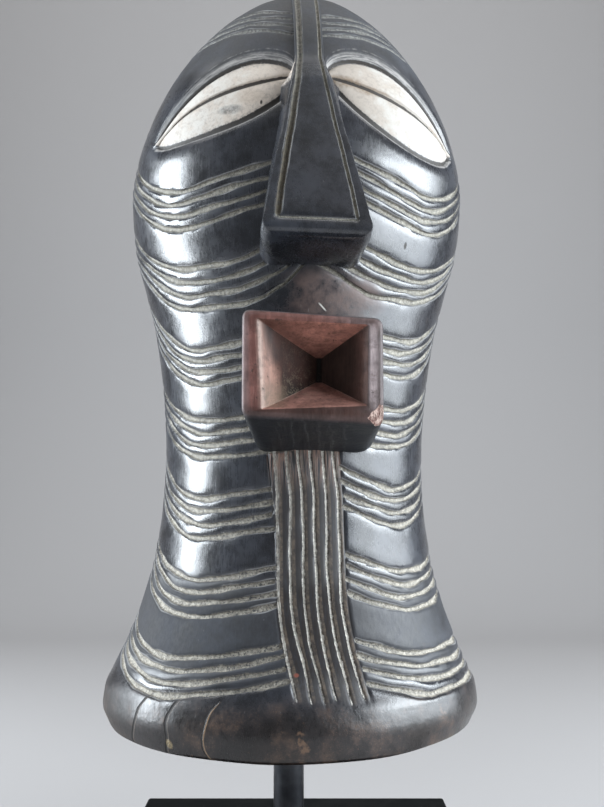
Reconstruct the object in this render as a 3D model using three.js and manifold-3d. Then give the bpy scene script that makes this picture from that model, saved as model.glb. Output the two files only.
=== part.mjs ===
// Songye kifwebe mask on its display stand: one carved wooden mask, hollow and open behind and below,
// held up by a steel rod that stands in a black block. Millimetres, +Z up, the face looks along -Y.
// The origin is the centre of the block's underside.
import * as THREE from 'three';
import { mergeVertices } from 'three/addons/utils/BufferGeometryUtils.js';
import Module from 'manifold-3d';

const wasm = await Module();
wasm.setup();

// Stand
const FOOT_SIDE = 160;
const FOOT_THICKNESS = 28;
const FOOT_BEVEL = 1.5;
const ROD_DIAMETER = 14;
const ROD_X = -2.8;
const ROD_SOCKET_DEPTH = 18;
const CLEARANCE = 0.3;

// Mask as a whole: heights from here on are measured up from the rim's underside
const RIM_ABOVE_TABLE = 88;
const MASK_TURN = 4.5;
const MASK_HEIGHT = 346;
const BACK_EDGE = 20;
const WALL = 11;
const CAVITY_TOP = 331;
const CAVITY_HEIGHTS = [-4, 2, 14, 30, 50, 75, 100, 125, 150, 175, 200, 222, 243, 262, 279, 294, 307, 318];
const LEAN_AT_RIM = 0.9;
const LEAN_AT_CROWN = 4.9;

// Plan of the mask at each height: half its width, and how far the middle of the front stands before the rod
const PLAN = [
  { height: 0, half: 78, reach: 72.5 },
  { height: 1.6, half: 81.4, reach: 74.8 },
  { height: 6, half: 84, reach: 75.6 },
  { height: 11, half: 86, reach: 76 },
  { height: 19, half: 85.2, reach: 74 },
  { height: 27, half: 81.7, reach: 70 },
  { height: 38, half: 76.7, reach: 67 },
  { height: 56, half: 69.8, reach: 63 },
  { height: 78, half: 64.1, reach: 60 },
  { height: 102, half: 61.1, reach: 58 },
  { height: 125, half: 60.5, reach: 58 },
  { height: 149, half: 62, reach: 61 },
  { height: 172, half: 65.2, reach: 65 },
  { height: 197, half: 71, reach: 69 },
  { height: 220, half: 77, reach: 72 },
  { height: 243, half: 79.3, reach: 73 },
];
const DOME_START = 243;
const DOME_SIDE_FULLNESS = [1.65, 1.79];
const DOME_FRONT_FULLNESS = [1.89, 2.02];
const CROWN_BEHIND_ROD = 5;
const RIM_LIFT = { left: 2, right: 5, fadesAt: 20 };

// Groups of four cut lines, from the rim up. low is the height of a group's top line where it dips lowest,
// inner its rise from there to the middle of the face, outer its rise to the back edge.
const LINES_IN_GROUP = 4;
const LINE_DEPTH = 1.2;
const FLARE = {
  left: { low: 37.6, pitch: 4.7, inner: 9, outer: 18 },
  right: { low: 38.6, pitch: 5.2, inner: 14.5, outer: 2 },
};
const LOWER_NECK = {
  left: { low: 69.2, pitch: 5, inner: 8, outer: 23 },
  right: { low: 71.8, pitch: 5.3, inner: 17.5, outer: 10 },
};
const UPPER_NECK = {
  left: { low: 102.8, pitch: 5.5, inner: 7, outer: 26 },
  right: { low: 107, pitch: 5.2, inner: 16, outer: 20 },
};
const CHIN = {
  left: { low: 135.9, pitch: 5.2, inner: 4, outer: 27 },
  right: { low: 140.7, pitch: 5.2, inner: 5, outer: 27 },
};
const MOUTH_SIDE = {
  left: { low: 166.1, pitch: 4.8, inner: 5, outer: 37 },
  right: { low: 170.9, pitch: 5.2, inner: 5, outer: 31 },
};
const LOWER_CHEEK = {
  left: { low: 200.2, pitch: 5.7, inner: 15.5, outer: 38, turn: 34, turnStep: -2 },
  right: { low: 201.1, pitch: 4.5, inner: 18, outer: 34, turn: 46, turnStep: -6 },
  bend: 1.9,
};
const UPPER_CHEEK = {
  left: { low: 233.7, pitch: 5.5, inner: 11, outer: 42 },
  right: { low: 233.4, pitch: 5.3, inner: 18, outer: 42 },
};
const FOREHEAD = {
  left: { low: 322, pitch: 4.5, inner: -6, outer: 3 },
  right: { low: 318.6, pitch: 4.2, inner: -4, outer: -6 },
  turn: 30,
};
const TURN_ANGLE = 42;
const BEND = 1.35;
const SWEEP_ANGLE = 70;
const MIDDLE_BLEND = [-9, 12];

// Eyes: almonds between two corners, sunk in the brow behind a slanting edge, with a slit between the lids
const EYES = {
  left: { inner: [5, 281], outer: [59, 259.5], top: 17, bottom: 14, slit: 5.6, skew: 0.68 },
  right: { inner: [6, 281.5], outer: [61, 259], top: 19, bottom: 17.5, slit: 4, skew: 1 },
};
const LID_FULLNESS = { top: 0.55, bottom: 0.62, slit: 0.6 };
const SLIT_SKEW = 1.6;
const SLIT_DROP = 1.5;
const LIDS_APART = 0.7;
const EYE_TAIL_RISE = 38;
const TAIL_BROW = 2;
const EYE_SINK = 2.2;
const EYE_BULGE = 1.5;
const SLIT_DEPTH = 0.9;
const BROW_EDGE = 5;
const LOWER_LID_EDGE = 3.2;

// Beard of upright cuts below the mouth; at the foot it drifts towards the mask's left
const BEARD_TOP = 124;
const BEARD_FOOT = 23;
const BEARD_CUTS = 6;
const BEARD_PITCH = 4.8;
const BEARD_CUT_DEPTH = 1.3;
const BEARD_EDGE = (BEARD_CUTS * BEARD_PITCH) / 2;
const BEARD_KEEPS_PITCH_OF = 58;
const BEARD_DRIFT = [[20, 8], [31, 6.5], [47, 4], [62, 2.7], [102, 2], [124, 0], [150, 0]];

// Nose and the low crest that runs on from it over the crown
const NOSE_TIP = { reach: 97.9, height: 205.2, halfLines: 16.7, edge: 5.4, shoulder: 0.6, root: 0.5 };
const NOSE_BRIDGE = { reach: 71.5, height: 284, halfLines: 4.3, edge: 1.3, shoulder: 3.4, root: 6 };
const SHOULDER_AT = [0.8, 0.35];
const NOSE_ROOT_HEIGHT = 199.5;
const NOSE_ROLL = 1.5;
const NOSE_SHIFT = { front: 1.5, root: 1.5 };
const NOSE_CORNERS = { front: 2.6, edge: 4, root: 8.5 };
const BURIED = 7;
const PANEL_FOOT = 5.6;
const PANEL_LINE_WIDTH = 2.2;
const PANEL_LINE_DEPTH = 1.1;
const CREST_PROUD = 2;
const CREST_FLANK = { edge: 1.3, shoulder: 0.9, root: 1.6 };
const CREST_HEIGHTS = [290, 300, 310, 319, 327, 334, 339.5, 343.5];
const CREST_END = [
  { behind: 0, drop: 0, tilt: 90 },
  { behind: 12, drop: 2, tilt: 110 },
  { behind: 24, drop: 8, tilt: 124 },
];

// Mouth: a block with a four-sided hollow in its front
const MOUTH = {
  reach: 97,
  halfWidth: 27,
  bottom: 132.8,
  top: 173.5,
  rootHalfWidth: 25.6,
  rootBottom: 121.2,
  rootTop: 176.5,
  rootReach: 50,
  rootShift: 5.6,
  cornerRadius: 3.6,
  rootCorner: 6.6,
  rootLowRight: 12,
  edgeRadius: 1.6,
  slope: 3.2,
};
const CHIP = { size: [7, 6, 7.5], turn: [0.5, 0.6, 0.7], in: 0.5, up: 2.2, ahead: 0.6 };
const HOLLOW_CORNERS = [[-19.3, -17.5], [20.6, -13.4], [21, 17.4], [-21, 16.8]];
const HOLLOW_DEPTH = 22;
const HOLLOW_FLOOR = { x: 1.8, halfWidth: 0.8, low: -3.4, high: 6 };

// Cutting leaves hair-thin slivers: points closer together than this are made one
const WELD = 0.004;
const RAD = Math.PI / 180;
const clamp01 = (t) => Math.min(1, Math.max(0, t));
const mix = (a, b, t) => a + (b - a) * t;
const smooth = (from, to, x) => {
  const t = clamp01((x - from) / (to - from));
  return t * t * (3 - 2 * t);
};

// A smooth curve through [x, y] points that doesn't overshoot them
function monotoneCurve(points) {
  const last = points.length - 1;
  const slope = (i) => (points[i + 1][1] - points[i][1]) / (points[i + 1][0] - points[i][0]);
  const tangents = points.map((_, i) => {
    if (i === 0) return slope(0);
    if (i === last) return slope(last - 1);
    const before = slope(i - 1);
    const after = slope(i);
    return before * after <= 0 ? 0 : (2 * before * after) / (before + after);
  });
  return (x) => {
    const i = Math.max(0, Math.min(last - 1, points.findIndex((p) => p[0] > x) - 1));
    if (x >= points[last][0]) return points[last][1];
    const [x0, y0] = points[i];
    const [x1, y1] = points[i + 1];
    const h = x1 - x0;
    const t = Math.max(0, (x - x0) / h);
    const rise = (y0 - y1) * (2 * t * t * t - 3 * t * t);
    return y0 + rise + h * t * (1 - t) * (tangents[i] * (1 - t) - tangents[i + 1] * t);
  };
}

const halfAt = monotoneCurve(PLAN.map((p) => [p.height, p.half]));
const reachAt = monotoneCurve(PLAN.map((p) => [p.height, p.reach]));
const driftAt = monotoneCurve(BEARD_DRIFT);

// The mask's plan at one height: half width, front and back reach, and the middle of the section
function section(height) {
  const rise = clamp01((height - DOME_START) / (MASK_HEIGHT - DOME_START));
  const side = Math.pow(1 - Math.pow(rise, DOME_SIDE_FULLNESS[0]), 1 / DOME_SIDE_FULLNESS[1]);
  const front = Math.pow(1 - Math.pow(rise, DOME_FRONT_FULLNESS[0]), 1 / DOME_FRONT_FULLNESS[1]);
  const half = halfAt(height) * side;
  return {
    half,
    front: reachAt(height) * front,
    back: half,
    x: mix(LEAN_AT_RIM, LEAN_AT_CROWN, height / MASK_HEIGHT),
    y: CROWN_BEHIND_ROD * (1 - front),
  };
}

// How far the outside leans back from upright at one height, in radians
function leanBack(height) {
  const step = 1;
  const low = Math.max(0, height - step);
  const high = Math.min(MASK_HEIGHT, height + step);
  return Math.atan2(section(low).half - section(high).half, high - low);
}

// A point of the outside: angle in degrees from the middle of the face, towards +X, sunk below the surface
function surfacePoint(angle, height, sink) {
  const s = section(height);
  const lean = leanBack(height);
  const sin = Math.sin(angle * RAD);
  const cos = Math.cos(angle * RAD);
  const depth = cos >= 0 ? s.front : s.back;
  const level = Math.cos(lean) * sink;
  return [
    s.x + (s.half - level) * sin,
    s.y - (depth - level) * cos,
    height - Math.sin(lean) * sink,
  ];
}

// Share of a line's rise towards the back edge, from 0 where it turns up to 1 behind
function sweepBack(away, turn) {
  const sweep = clamp01((away - turn) / (TURN_ANGLE + SWEEP_ANGLE - turn));
  return Math.sin((Math.PI / 2) * sweep) ** 2;
}

// Height of one cut line of a group at an angle; line 0 is the top one, and half lines are the ridges between
function lineHeight(group, line, angle) {
  const turn = group.turn ?? TURN_ANGLE;
  const away = Math.abs(angle);
  const outer = sweepBack(away, turn);
  const one = (s) => {
    const from = (s.turn ?? turn) + (s.turnStep ?? 0) * line;
    const inner = Math.pow(Math.max(0, from - away) / from, group.bend ?? BEND);
    return s.low - s.pitch * line + s.inner * inner + s.outer * outer;
  };
  return mix(one(group.left), one(group.right), smooth(...MIDDLE_BLEND, angle));
}

// Heights of the edges of one eye at an angle. Past its corners they run on close together.
function eyeHeights(eye, angle) {
  const away = Math.abs(angle);
  const [innerAngle, innerHeight] = eye.inner;
  const [outerAngle, outerHeight] = eye.outer;
  const along = clamp01((away - innerAngle) / (outerAngle - innerAngle));
  const past = away > outerAngle ? sweepBack(away, TURN_ANGLE) - sweepBack(outerAngle, TURN_ANGLE) : 0;
  const chord = mix(innerHeight, outerHeight, along) + EYE_TAIL_RISE * past;
  const arc = (skew, power) => Math.pow(Math.sin(Math.PI * Math.pow(along, skew)), power);
  const open = along > 0 && along < 1 ? 1 : 0;
  const slit = chord + open * eye.slit * arc(SLIT_SKEW, LID_FULLNESS.slit) - SLIT_DROP * along * along;
  const top = Math.max(slit + LIDS_APART, chord + open * eye.top * arc(1, LID_FULLNESS.top));
  const bottom = Math.min(slit - LIDS_APART, chord - open * eye.bottom * arc(eye.skew, LID_FULLNESS.bottom));
  return { top, slit, bottom, open, brow: top + mix(BROW_EDGE, TAIL_BROW, past) };
}

function eyesAt(angle) {
  const left = eyeHeights(EYES.left, angle);
  const right = eyeHeights(EYES.right, angle);
  const t = smooth(...MIDDLE_BLEND, angle);
  const both = (name) => mix(left[name], right[name], t);
  const open = angle < 0 ? left.open : right.open;
  return { top: both('top'), slit: both('slit'), bottom: both('bottom'), brow: both('brow'), open };
}

// Every row of the outside from the rim up, as its height and its sink at an angle
function maskRows() {
  const rows = [];
  const flat = () => 0;
  const lift = (angle) => {
    const side = angle < 0 ? RIM_LIFT.left : RIM_LIFT.right;
    return side * Math.sin(angle * RAD) ** 2;
  };
  for (const height of [0, 1.6, 6, 11, 16]) {
    const share = 1 - height / RIM_LIFT.fadesAt;
    rows.push({ height: (angle) => height + lift(angle) * share, sink: flat });
  }
  const between = (low, high, count) => {
    for (let i = 1; i <= count; i += 1) {
      rows.push({ height: (angle) => mix(low(angle), high(angle), i / (count + 1)), sink: flat });
    }
  };
  const addGroup = (group, reachesBeard) => {
    for (let half = 2 * LINES_IN_GROUP - 1; half >= -1; half -= 1) {
      const cut = half % 2 === 0;
      const stops = (phi) => (reachesBeard && Math.abs(phi) < BEARD_EDGE + 1 ? 0 : LINE_DEPTH);
      rows.push({ height: (angle) => lineHeight(group, half / 2, angle), sink: cut ? stops : flat });
    }
  };
  const groups = [FLARE, LOWER_NECK, UPPER_NECK, CHIN, MOUTH_SIDE, LOWER_CHEEK, UPPER_CHEEK];
  const topOf = (group) => (angle) => lineHeight(group, -0.5, angle);
  const footOf = (group) => (angle) => lineHeight(group, LINES_IN_GROUP - 0.5, angle);
  groups.forEach((group, i) => {
    addGroup(group, i < 3);
    const next = groups[i + 1];
    if (next) between(topOf(group), footOf(next), 2);
  });

  const eyeRow = (height, sink) => {
    rows.push({ height, sink: (phi, angle) => sink * eyesAt(angle).open });
  };
  const lid = EYE_SINK - EYE_BULGE;
  between(topOf(UPPER_CHEEK), (angle) => eyesAt(angle).bottom - LOWER_LID_EDGE, 1);
  eyeRow((angle) => eyesAt(angle).bottom - LOWER_LID_EDGE, 0);
  eyeRow((angle) => eyesAt(angle).bottom, EYE_SINK);
  eyeRow((angle) => mix(eyesAt(angle).bottom, eyesAt(angle).slit, 0.5), lid);
  eyeRow((angle) => eyesAt(angle).slit, lid + SLIT_DEPTH);
  eyeRow((angle) => mix(eyesAt(angle).slit, eyesAt(angle).top, 0.5), lid);
  eyeRow((angle) => eyesAt(angle).top, EYE_SINK);
  eyeRow((angle) => eyesAt(angle).brow, 0);
  addGroup(FOREHEAD, false);
  for (const share of [0.25, 0.5, 0.72, 0.9]) {
    rows.push({ height: (angle) => mix(topOf(FOREHEAD)(angle), MASK_HEIGHT, share), sink: flat });
  }
  return rows;
}

// Columns of the outside: close together over the beard, wider round the sides
function maskColumns() {
  const beard = [];
  for (let i = 0; i <= 2 * BEARD_CUTS; i += 1) beard.push(-BEARD_EDGE + (i * BEARD_PITCH) / 2);
  const side = [16.4, 22, 29, 36, 43, 50, 57, 65, 74, 84, 95, 108, 132, 156];
  return [...side.map((a) => -a).reverse(), ...beard, ...side, 180];
}

// The beard's columns follow its drift, and keep their distance where the neck widens
function columnAngle(phi, height) {
  const hold = 1 - smooth(BEARD_EDGE, 45, Math.abs(phi));
  const spread = height < BEARD_TOP ? BEARD_KEEPS_PITCH_OF / reachAt(height) - 1 : 0;
  return phi + hold * (driftAt(height) + phi * spread);
}

function beardSink(phi, height) {
  const position = (phi + BEARD_EDGE) / BEARD_PITCH;
  const inside = position > 0.1 && position < BEARD_CUTS - 0.1;
  const cut = Math.abs(position - Math.floor(position) - 0.5) < 0.1;
  const along = smooth(BEARD_FOOT, BEARD_FOOT + 5, height) * (height < BEARD_TOP + 6 ? 1 : 0);
  return inside && cut ? BEARD_CUT_DEPTH * along : 0;
}

// Closed solid through rings of equal length, capped by one point below and one above
function ringsToSolid(rings, below, above) {
  const count = rings[0].length;
  const vertices = [below, ...rings.flat(), above];
  const faces = [];
  const at = (r, c) => 1 + r * count + (c % count);
  for (let c = 0; c < count; c += 1) faces.push([0, at(0, c + 1), at(0, c)]);
  for (let r = 0; r < rings.length - 1; r += 1) {
    for (let c = 0; c < count; c += 1) {
      faces.push([at(r, c), at(r, c + 1), at(r + 1, c + 1)]);
      faces.push([at(r, c), at(r + 1, c + 1), at(r + 1, c)]);
    }
  }
  const last = rings.length - 1;
  for (let c = 0; c < count; c += 1) faces.push([at(last, c), at(last, c + 1), vertices.length - 1]);
  return new wasm.Manifold(new wasm.Mesh({
    numProp: 3,
    vertProperties: new Float32Array(vertices.flat()),
    triVerts: new Uint32Array(faces.flat()),
  }));
}

function middleOf(ring) {
  return [0, 1, 2].map((k) => ring.reduce((sum, p) => sum + p[k], 0) / ring.length);
}

function maskOutside() {
  const columns = maskColumns();
  const rings = maskRows().map((row) => columns.map((phi) => {
    const angle = columnAngle(phi, row.height(phi));
    const height = row.height(angle);
    const sink = Math.max(row.sink(phi, angle), beardSink(phi, height));
    return surfacePoint(angle, height, sink);
  }));
  const top = section(MASK_HEIGHT);
  return ringsToSolid(rings, middleOf(rings[0]), [top.x, top.y, MASK_HEIGHT]);
}

// The inside follows the outside at the wall's thickness, flat at the top where the rod's end bears
function maskCavity() {
  const heights = [...CAVITY_HEIGHTS, CAVITY_TOP];
  const sides = 26;
  const rings = heights.map((height) => {
    const s = section(Math.max(0, height));
    const inset = Math.min(2.2, 1 / Math.cos(leanBack(Math.max(30, height)))) * WALL;
    return Array.from({ length: sides }, (_, i) => {
      const angle = (360 / sides) * (i + 0.5);
      const sin = Math.sin(angle * RAD);
      const cos = Math.cos(angle * RAD);
      const depth = cos >= 0 ? s.front : s.back;
      return [s.x + (s.half - inset) * sin, s.y - (depth - inset) * cos, height];
    });
  });
  const last = rings.length - 1;
  return ringsToSolid(rings, middleOf(rings[0]), middleOf(rings[last]));
}

// One section across the nose or crest: root and front are [reach, height] on the middle plane,
// and share runs from 0 at the nose's tip to 1 on the crest; cut is "none", "lines" or "panel"
function noseSection(root, front, halfLines, flank, cut, share) {
  const edge = halfLines + flank.edge;
  const panel = halfLines - PANEL_LINE_WIDTH / 2;
  const line = halfLines + Math.min(PANEL_LINE_WIDTH / 2, flank.edge - 0.4);
  const wide = edge + flank.root;
  const shoulder = edge + flank.shoulder;
  const shoulderAt = mix(...SHOULDER_AT, share);
  const length = Math.hypot(front[0] - root[0], front[1] - root[1]);
  const slope = (1 - share) * Math.tan(NOSE_ROLL * RAD);
  const place = (x, out) => {
    const reach = mix(root[0], front[0], out);
    const height = mix(root[1], front[1], out);
    const axis = section(height).x + (1 - share) * mix(NOSE_SHIFT.root, NOSE_SHIFT.front, out);
    return [axis + x, -reach, height - slope * out * x];
  };
  const deep = cut === "none" ? 1 : 1 - PANEL_LINE_DEPTH / length;
  const panelOut = cut === "panel" ? deep : 1;
  return [
    place(wide, 0), place(-wide, 0), place(-shoulder, shoulderAt), place(-edge, 1),
    place(-line, 1), place(-halfLines, deep), place(-panel, panelOut),
    place(panel, panelOut), place(halfLines, deep), place(line, 1),
    place(edge, 1), place(shoulder, shoulderAt),
  ];
}

// How far a rounded corner of a radius is drawn in, this far up from its lower side
function cornerInset(radius, up) {
  return up < radius ? radius - Math.sqrt(radius * radius - (radius - up) * (radius - up)) : 0;
}

function noseRings() {
  const lengthOf = NOSE_BRIDGE.height - NOSE_TIP.height;
  const noseAt = (up) => {
    const cut = up < PANEL_FOOT ? "none" : up === PANEL_FOOT ? "panel" : "lines";
    const edgeInset = cornerInset(NOSE_CORNERS.edge, up);
    const rootInset = cornerInset(NOSE_CORNERS.root, up) - edgeInset;
    const round = cornerInset(NOSE_CORNERS.front, up);
    const share = up / lengthOf;
    const halfLines = mix(NOSE_TIP.halfLines, NOSE_BRIDGE.halfLines, share);
    const rootHeight = mix(NOSE_ROOT_HEIGHT - 2, NOSE_BRIDGE.height - 2, share);
    const root = [reachAt(rootHeight) - BURIED, rootHeight];
    const front = [mix(NOSE_TIP.reach, NOSE_BRIDGE.reach, share) - round, NOSE_TIP.height + up];
    const flank = {
      edge: mix(NOSE_TIP.edge, NOSE_BRIDGE.edge, share) - edgeInset,
      shoulder: mix(NOSE_TIP.shoulder, NOSE_BRIDGE.shoulder, share),
      root: mix(NOSE_TIP.root, NOSE_BRIDGE.root, share) - rootInset,
    };
    return noseSection(root, front, halfLines, flank, cut, share);
  };
  const rings = [0, 0.6, 2, 4.4, PANEL_FOOT, 6.8, 22, 38, 54, 69].map(noseAt);
  const crestAt = (reach, height, tilt) => {
    const inward = [Math.cos(tilt), Math.sin(tilt)];
    const root = [reach - BURIED * inward[0], height - BURIED * inward[1]];
    const front = [reach + CREST_PROUD * inward[0], height + CREST_PROUD * inward[1]];
    return noseSection(root, front, NOSE_BRIDGE.halfLines, CREST_FLANK, "lines", 1);
  };
  const meridian = (height) => section(height).front - section(height).y;
  const tiltAt = (height) => Math.atan2(meridian(height - 1) - meridian(height + 1), 2);
  for (const height of CREST_HEIGHTS) {
    rings.push(crestAt(meridian(height), height, tiltAt(height)));
  }
  for (const end of CREST_END) {
    rings.push(crestAt(-CROWN_BEHIND_ROD - end.behind, MASK_HEIGHT - end.drop, end.tilt * RAD));
  }
  return rings;
}

function noseAndCrest() {
  const rings = noseRings();
  return ringsToSolid(rings, middleOf(rings[0]), middleOf(rings[rings.length - 1]));
}

function roundedOutline(halfWidth, low, high, radius, lowRight) {
  const points = [];
  const steps = 3;
  const corners = [[-1, low, 180], [1, low, 270], [1, high, 0], [-1, high, 90]];
  for (const [side, level, start] of corners) {
    const r = side > 0 && level === low ? lowRight : radius;
    const cx = side * (halfWidth - r);
    const cz = level === low ? low + r : high - r;
    for (let i = 0; i <= steps; i += 1) {
      const turn = (start + (90 * i) / steps) * RAD;
      points.push([cx + r * Math.cos(turn), cz + r * Math.sin(turn)]);
    }
  }
  return points;
}

// A point of the mouth block. Its front slopes down towards +X, and its root stands further that way.
function mouthPlace(x, z, reach) {
  const middle = (MOUTH.bottom + MOUTH.top) / 2;
  const inward = (MOUTH.reach - reach) / (MOUTH.reach - MOUTH.rootReach);
  const axis = section(middle).x + MOUTH.rootShift * inward;
  return [axis + x, -reach, z - (1 - inward) * Math.tan(MOUTH.slope * RAD) * x];
}

function mouthBlock() {
  const m = MOUTH;
  const ring = (halfWidth, low, high, radius, lowRight, reach) => (
    roundedOutline(halfWidth, low, high, radius, lowRight).map(([x, z]) => mouthPlace(x, z, reach))
  );
  const edge = m.edgeRadius;
  const ease = 0.3 * edge;
  const atShare = (share) => [
    mix(m.rootHalfWidth, m.halfWidth, share),
    mix(m.rootBottom, m.bottom, share),
    mix(m.rootTop, m.top, share),
    mix(m.rootCorner, m.cornerRadius, share),
    mix(m.rootLowRight, m.cornerRadius, share),
    mix(m.rootReach, m.reach - edge, share),
  ];
  const front = (inset, radius, reach) => (
    ring(m.halfWidth - inset, m.bottom + inset, m.top - inset, radius, radius, reach)
  );
  const rings = [
    ring(...atShare(0)),
    ring(...atShare(0.3)),
    ring(...atShare(1)),
    front(ease, m.cornerRadius, m.reach - ease),
    front(edge, m.cornerRadius - edge / 2, m.reach),
  ];
  return ringsToSolid(rings, middleOf(rings[0]), middleOf(rings[rings.length - 1]));
}

function mouthHollow() {
  const middle = (MOUTH.bottom + MOUTH.top) / 2;
  const ahead = 4;
  const floor = [HOLLOW_FLOOR.low, HOLLOW_FLOOR.low, HOLLOW_FLOOR.high, HOLLOW_FLOOR.high];
  const at = (share, reach) => HOLLOW_CORNERS.map(([x, z], i) => {
    const side = Math.sign(x) * HOLLOW_FLOOR.halfWidth;
    return mouthPlace(mix(x, HOLLOW_FLOOR.x + side, share), middle + mix(z, floor[i], share), reach);
  });
  const rings = [at(1, MOUTH.reach - HOLLOW_DEPTH), at(0, MOUTH.reach), at(-0.1, MOUTH.reach + ahead)];
  return ringsToSolid(rings, middleOf(rings[0]), middleOf(rings[2]));
}

// A plain block, turned about its centre
function box(size, centre, turn) {
  const geometry = new THREE.BoxGeometry(...size);
  geometry.deleteAttribute('normal');
  geometry.deleteAttribute('uv');
  geometry.applyMatrix4(new THREE.Matrix4().makeRotationFromEuler(new THREE.Euler(...turn)));
  geometry.translate(...centre);
  const merged = mergeVertices(geometry);
  return new wasm.Manifold(new wasm.Mesh({
    numProp: 3,
    vertProperties: new Float32Array(merged.attributes.position.array),
    triVerts: new Uint32Array(merged.index.array),
  }));
}

// A geometry of a cut solid, with its slivers closed up
function toGeometry(solid) {
  const mesh = solid.getMesh();
  const positions = new Float32Array(mesh.numVert * 3);
  for (let i = 0; i < mesh.numVert; i += 1) {
    for (let k = 0; k < 3; k += 1) positions[3 * i + k] = mesh.vertProperties[mesh.numProp * i + k];
  }
  const cut = new THREE.BufferGeometry();
  cut.setAttribute('position', new THREE.BufferAttribute(positions, 3));
  cut.setIndex(new THREE.BufferAttribute(new Uint32Array(mesh.triVerts), 1));
  const geometry = mergeVertices(cut, WELD);
  const index = geometry.index.array;
  const kept = [];
  for (let i = 0; i < index.length; i += 3) {
    const [a, b, c] = [index[i], index[i + 1], index[i + 2]];
    if (a !== b && b !== c && c !== a) kept.push(a, b, c);
  }
  geometry.setIndex(kept);
  geometry.computeVertexNormals();
  return geometry;
}

function maskGeometry() {
  const far = 2 * MASK_HEIGHT;
  const behind = box([far, far, far], [0, BACK_EDGE + far / 2, MASK_HEIGHT / 2], [0, 0, 0]);
  const chipAt = mouthPlace(MOUTH.halfWidth - CHIP.in, MOUTH.bottom + CHIP.up, MOUTH.reach + CHIP.ahead);
  const chip = box(CHIP.size, chipAt, CHIP.turn);
  const solid = maskOutside()
    .add(noseAndCrest())
    .add(mouthBlock())
    .subtract(maskCavity())
    .subtract(mouthHollow())
    .subtract(chip)
    .subtract(behind);
  return toGeometry(solid);
}

// Block with a small bevel along every edge and a blind socket for the rod
function footGeometry() {
  const half = FOOT_SIDE / 2;
  const square = (inset, z) => {
    const h = half - inset;
    return [[-h, -h, z], [h, -h, z], [h, h, z], [-h, h, z]];
  };
  const rings = [
    square(FOOT_BEVEL, 0), square(0, FOOT_BEVEL),
    square(0, FOOT_THICKNESS - FOOT_BEVEL), square(FOOT_BEVEL, FOOT_THICKNESS),
  ];
  const block = ringsToSolid(rings, middleOf(rings[0]), middleOf(rings[3]));
  const depth = ROD_SOCKET_DEPTH + CLEARANCE;
  const socket = cylinderSolid(ROD_DIAMETER / 2 + CLEARANCE, depth + 2, FOOT_THICKNESS - depth);
  return toGeometry(block.subtract(socket));
}

function cylinderSolid(radius, length, bottom) {
  const sides = 32;
  const ring = (z) => Array.from({ length: sides }, (_, i) => {
    const turn = (2 * Math.PI * i) / sides;
    return [ROD_X + radius * Math.cos(turn), radius * Math.sin(turn), z];
  });
  return ringsToSolid([ring(bottom), ring(bottom + length)], [ROD_X, 0, bottom], [ROD_X, 0, bottom + length]);
}

function rodGeometry() {
  const bottom = FOOT_THICKNESS - ROD_SOCKET_DEPTH;
  const top = RIM_ABOVE_TABLE + CAVITY_TOP - CLEARANCE;
  return toGeometry(cylinderSolid(ROD_DIAMETER / 2, top - bottom, bottom));
}

const woodMaterial = new THREE.MeshStandardMaterial({ color: 0x22242a, roughness: 0.35, metalness: 0 });
const steelMaterial = new THREE.MeshStandardMaterial({ color: 0x8d9095, roughness: 0.35, metalness: 1 });
const footMaterial = new THREE.MeshStandardMaterial({ color: 0x1b2124, roughness: 0.45, metalness: 0 });

function named(name, geometry, material) {
  const mesh = new THREE.Mesh(geometry, material);
  mesh.name = name;
  return mesh;
}

const mask = named('mask', maskGeometry(), woodMaterial);
const maskPlace = new THREE.Group();
maskPlace.position.set(ROD_X, 0, RIM_ABOVE_TABLE);
maskPlace.rotation.z = MASK_TURN * RAD;
maskPlace.add(mask);

const model = new THREE.Group();
model.add(maskPlace);
model.add(named('rod', rodGeometry(), steelMaterial));
model.add(named('foot', footGeometry(), footMaterial));

export default model;
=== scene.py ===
"""A carved wooden face mask with cut zig-zag lines, on a steel bar in a black block."""

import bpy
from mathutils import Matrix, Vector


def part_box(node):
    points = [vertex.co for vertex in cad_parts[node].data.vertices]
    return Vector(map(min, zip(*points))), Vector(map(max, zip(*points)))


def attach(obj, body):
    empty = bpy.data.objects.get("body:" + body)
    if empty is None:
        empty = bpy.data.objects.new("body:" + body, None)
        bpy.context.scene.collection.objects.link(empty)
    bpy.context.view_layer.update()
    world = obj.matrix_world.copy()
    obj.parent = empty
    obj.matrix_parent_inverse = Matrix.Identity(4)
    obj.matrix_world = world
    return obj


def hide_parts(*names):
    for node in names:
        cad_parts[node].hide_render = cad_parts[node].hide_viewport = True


bl_info = {
    "name": "Carved Face Mask",
    "version": (1, 0, 0),
    "blender": (4, 5, 0),
    "location": "3D View > Sidebar > Mask",
    "description": "Carves a hollow wooden face mask with cut lines, and its display stand",
    "category": "Object",
}

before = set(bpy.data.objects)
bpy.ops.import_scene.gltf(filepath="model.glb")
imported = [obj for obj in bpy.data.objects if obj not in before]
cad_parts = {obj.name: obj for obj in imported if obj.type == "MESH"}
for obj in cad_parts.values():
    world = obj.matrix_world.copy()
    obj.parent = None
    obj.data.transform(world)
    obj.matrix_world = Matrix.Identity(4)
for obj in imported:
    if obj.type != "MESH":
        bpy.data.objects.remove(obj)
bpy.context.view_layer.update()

import math

import bpy
import numpy as np
from mathutils import Euler, Vector, kdtree

MM = 0.001

# The mask's form, in millimetres from the middle of the rim's underside, the face towards -Y

ROD_X = -2.8
RIM_ABOVE_TABLE = 88
MASK_TURN = math.radians(4.5)
MASK_HEIGHT = 346
BACK_EDGE = 20
CAVITY_TOP = 331
LEAN = (0.9, 4.9)

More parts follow.
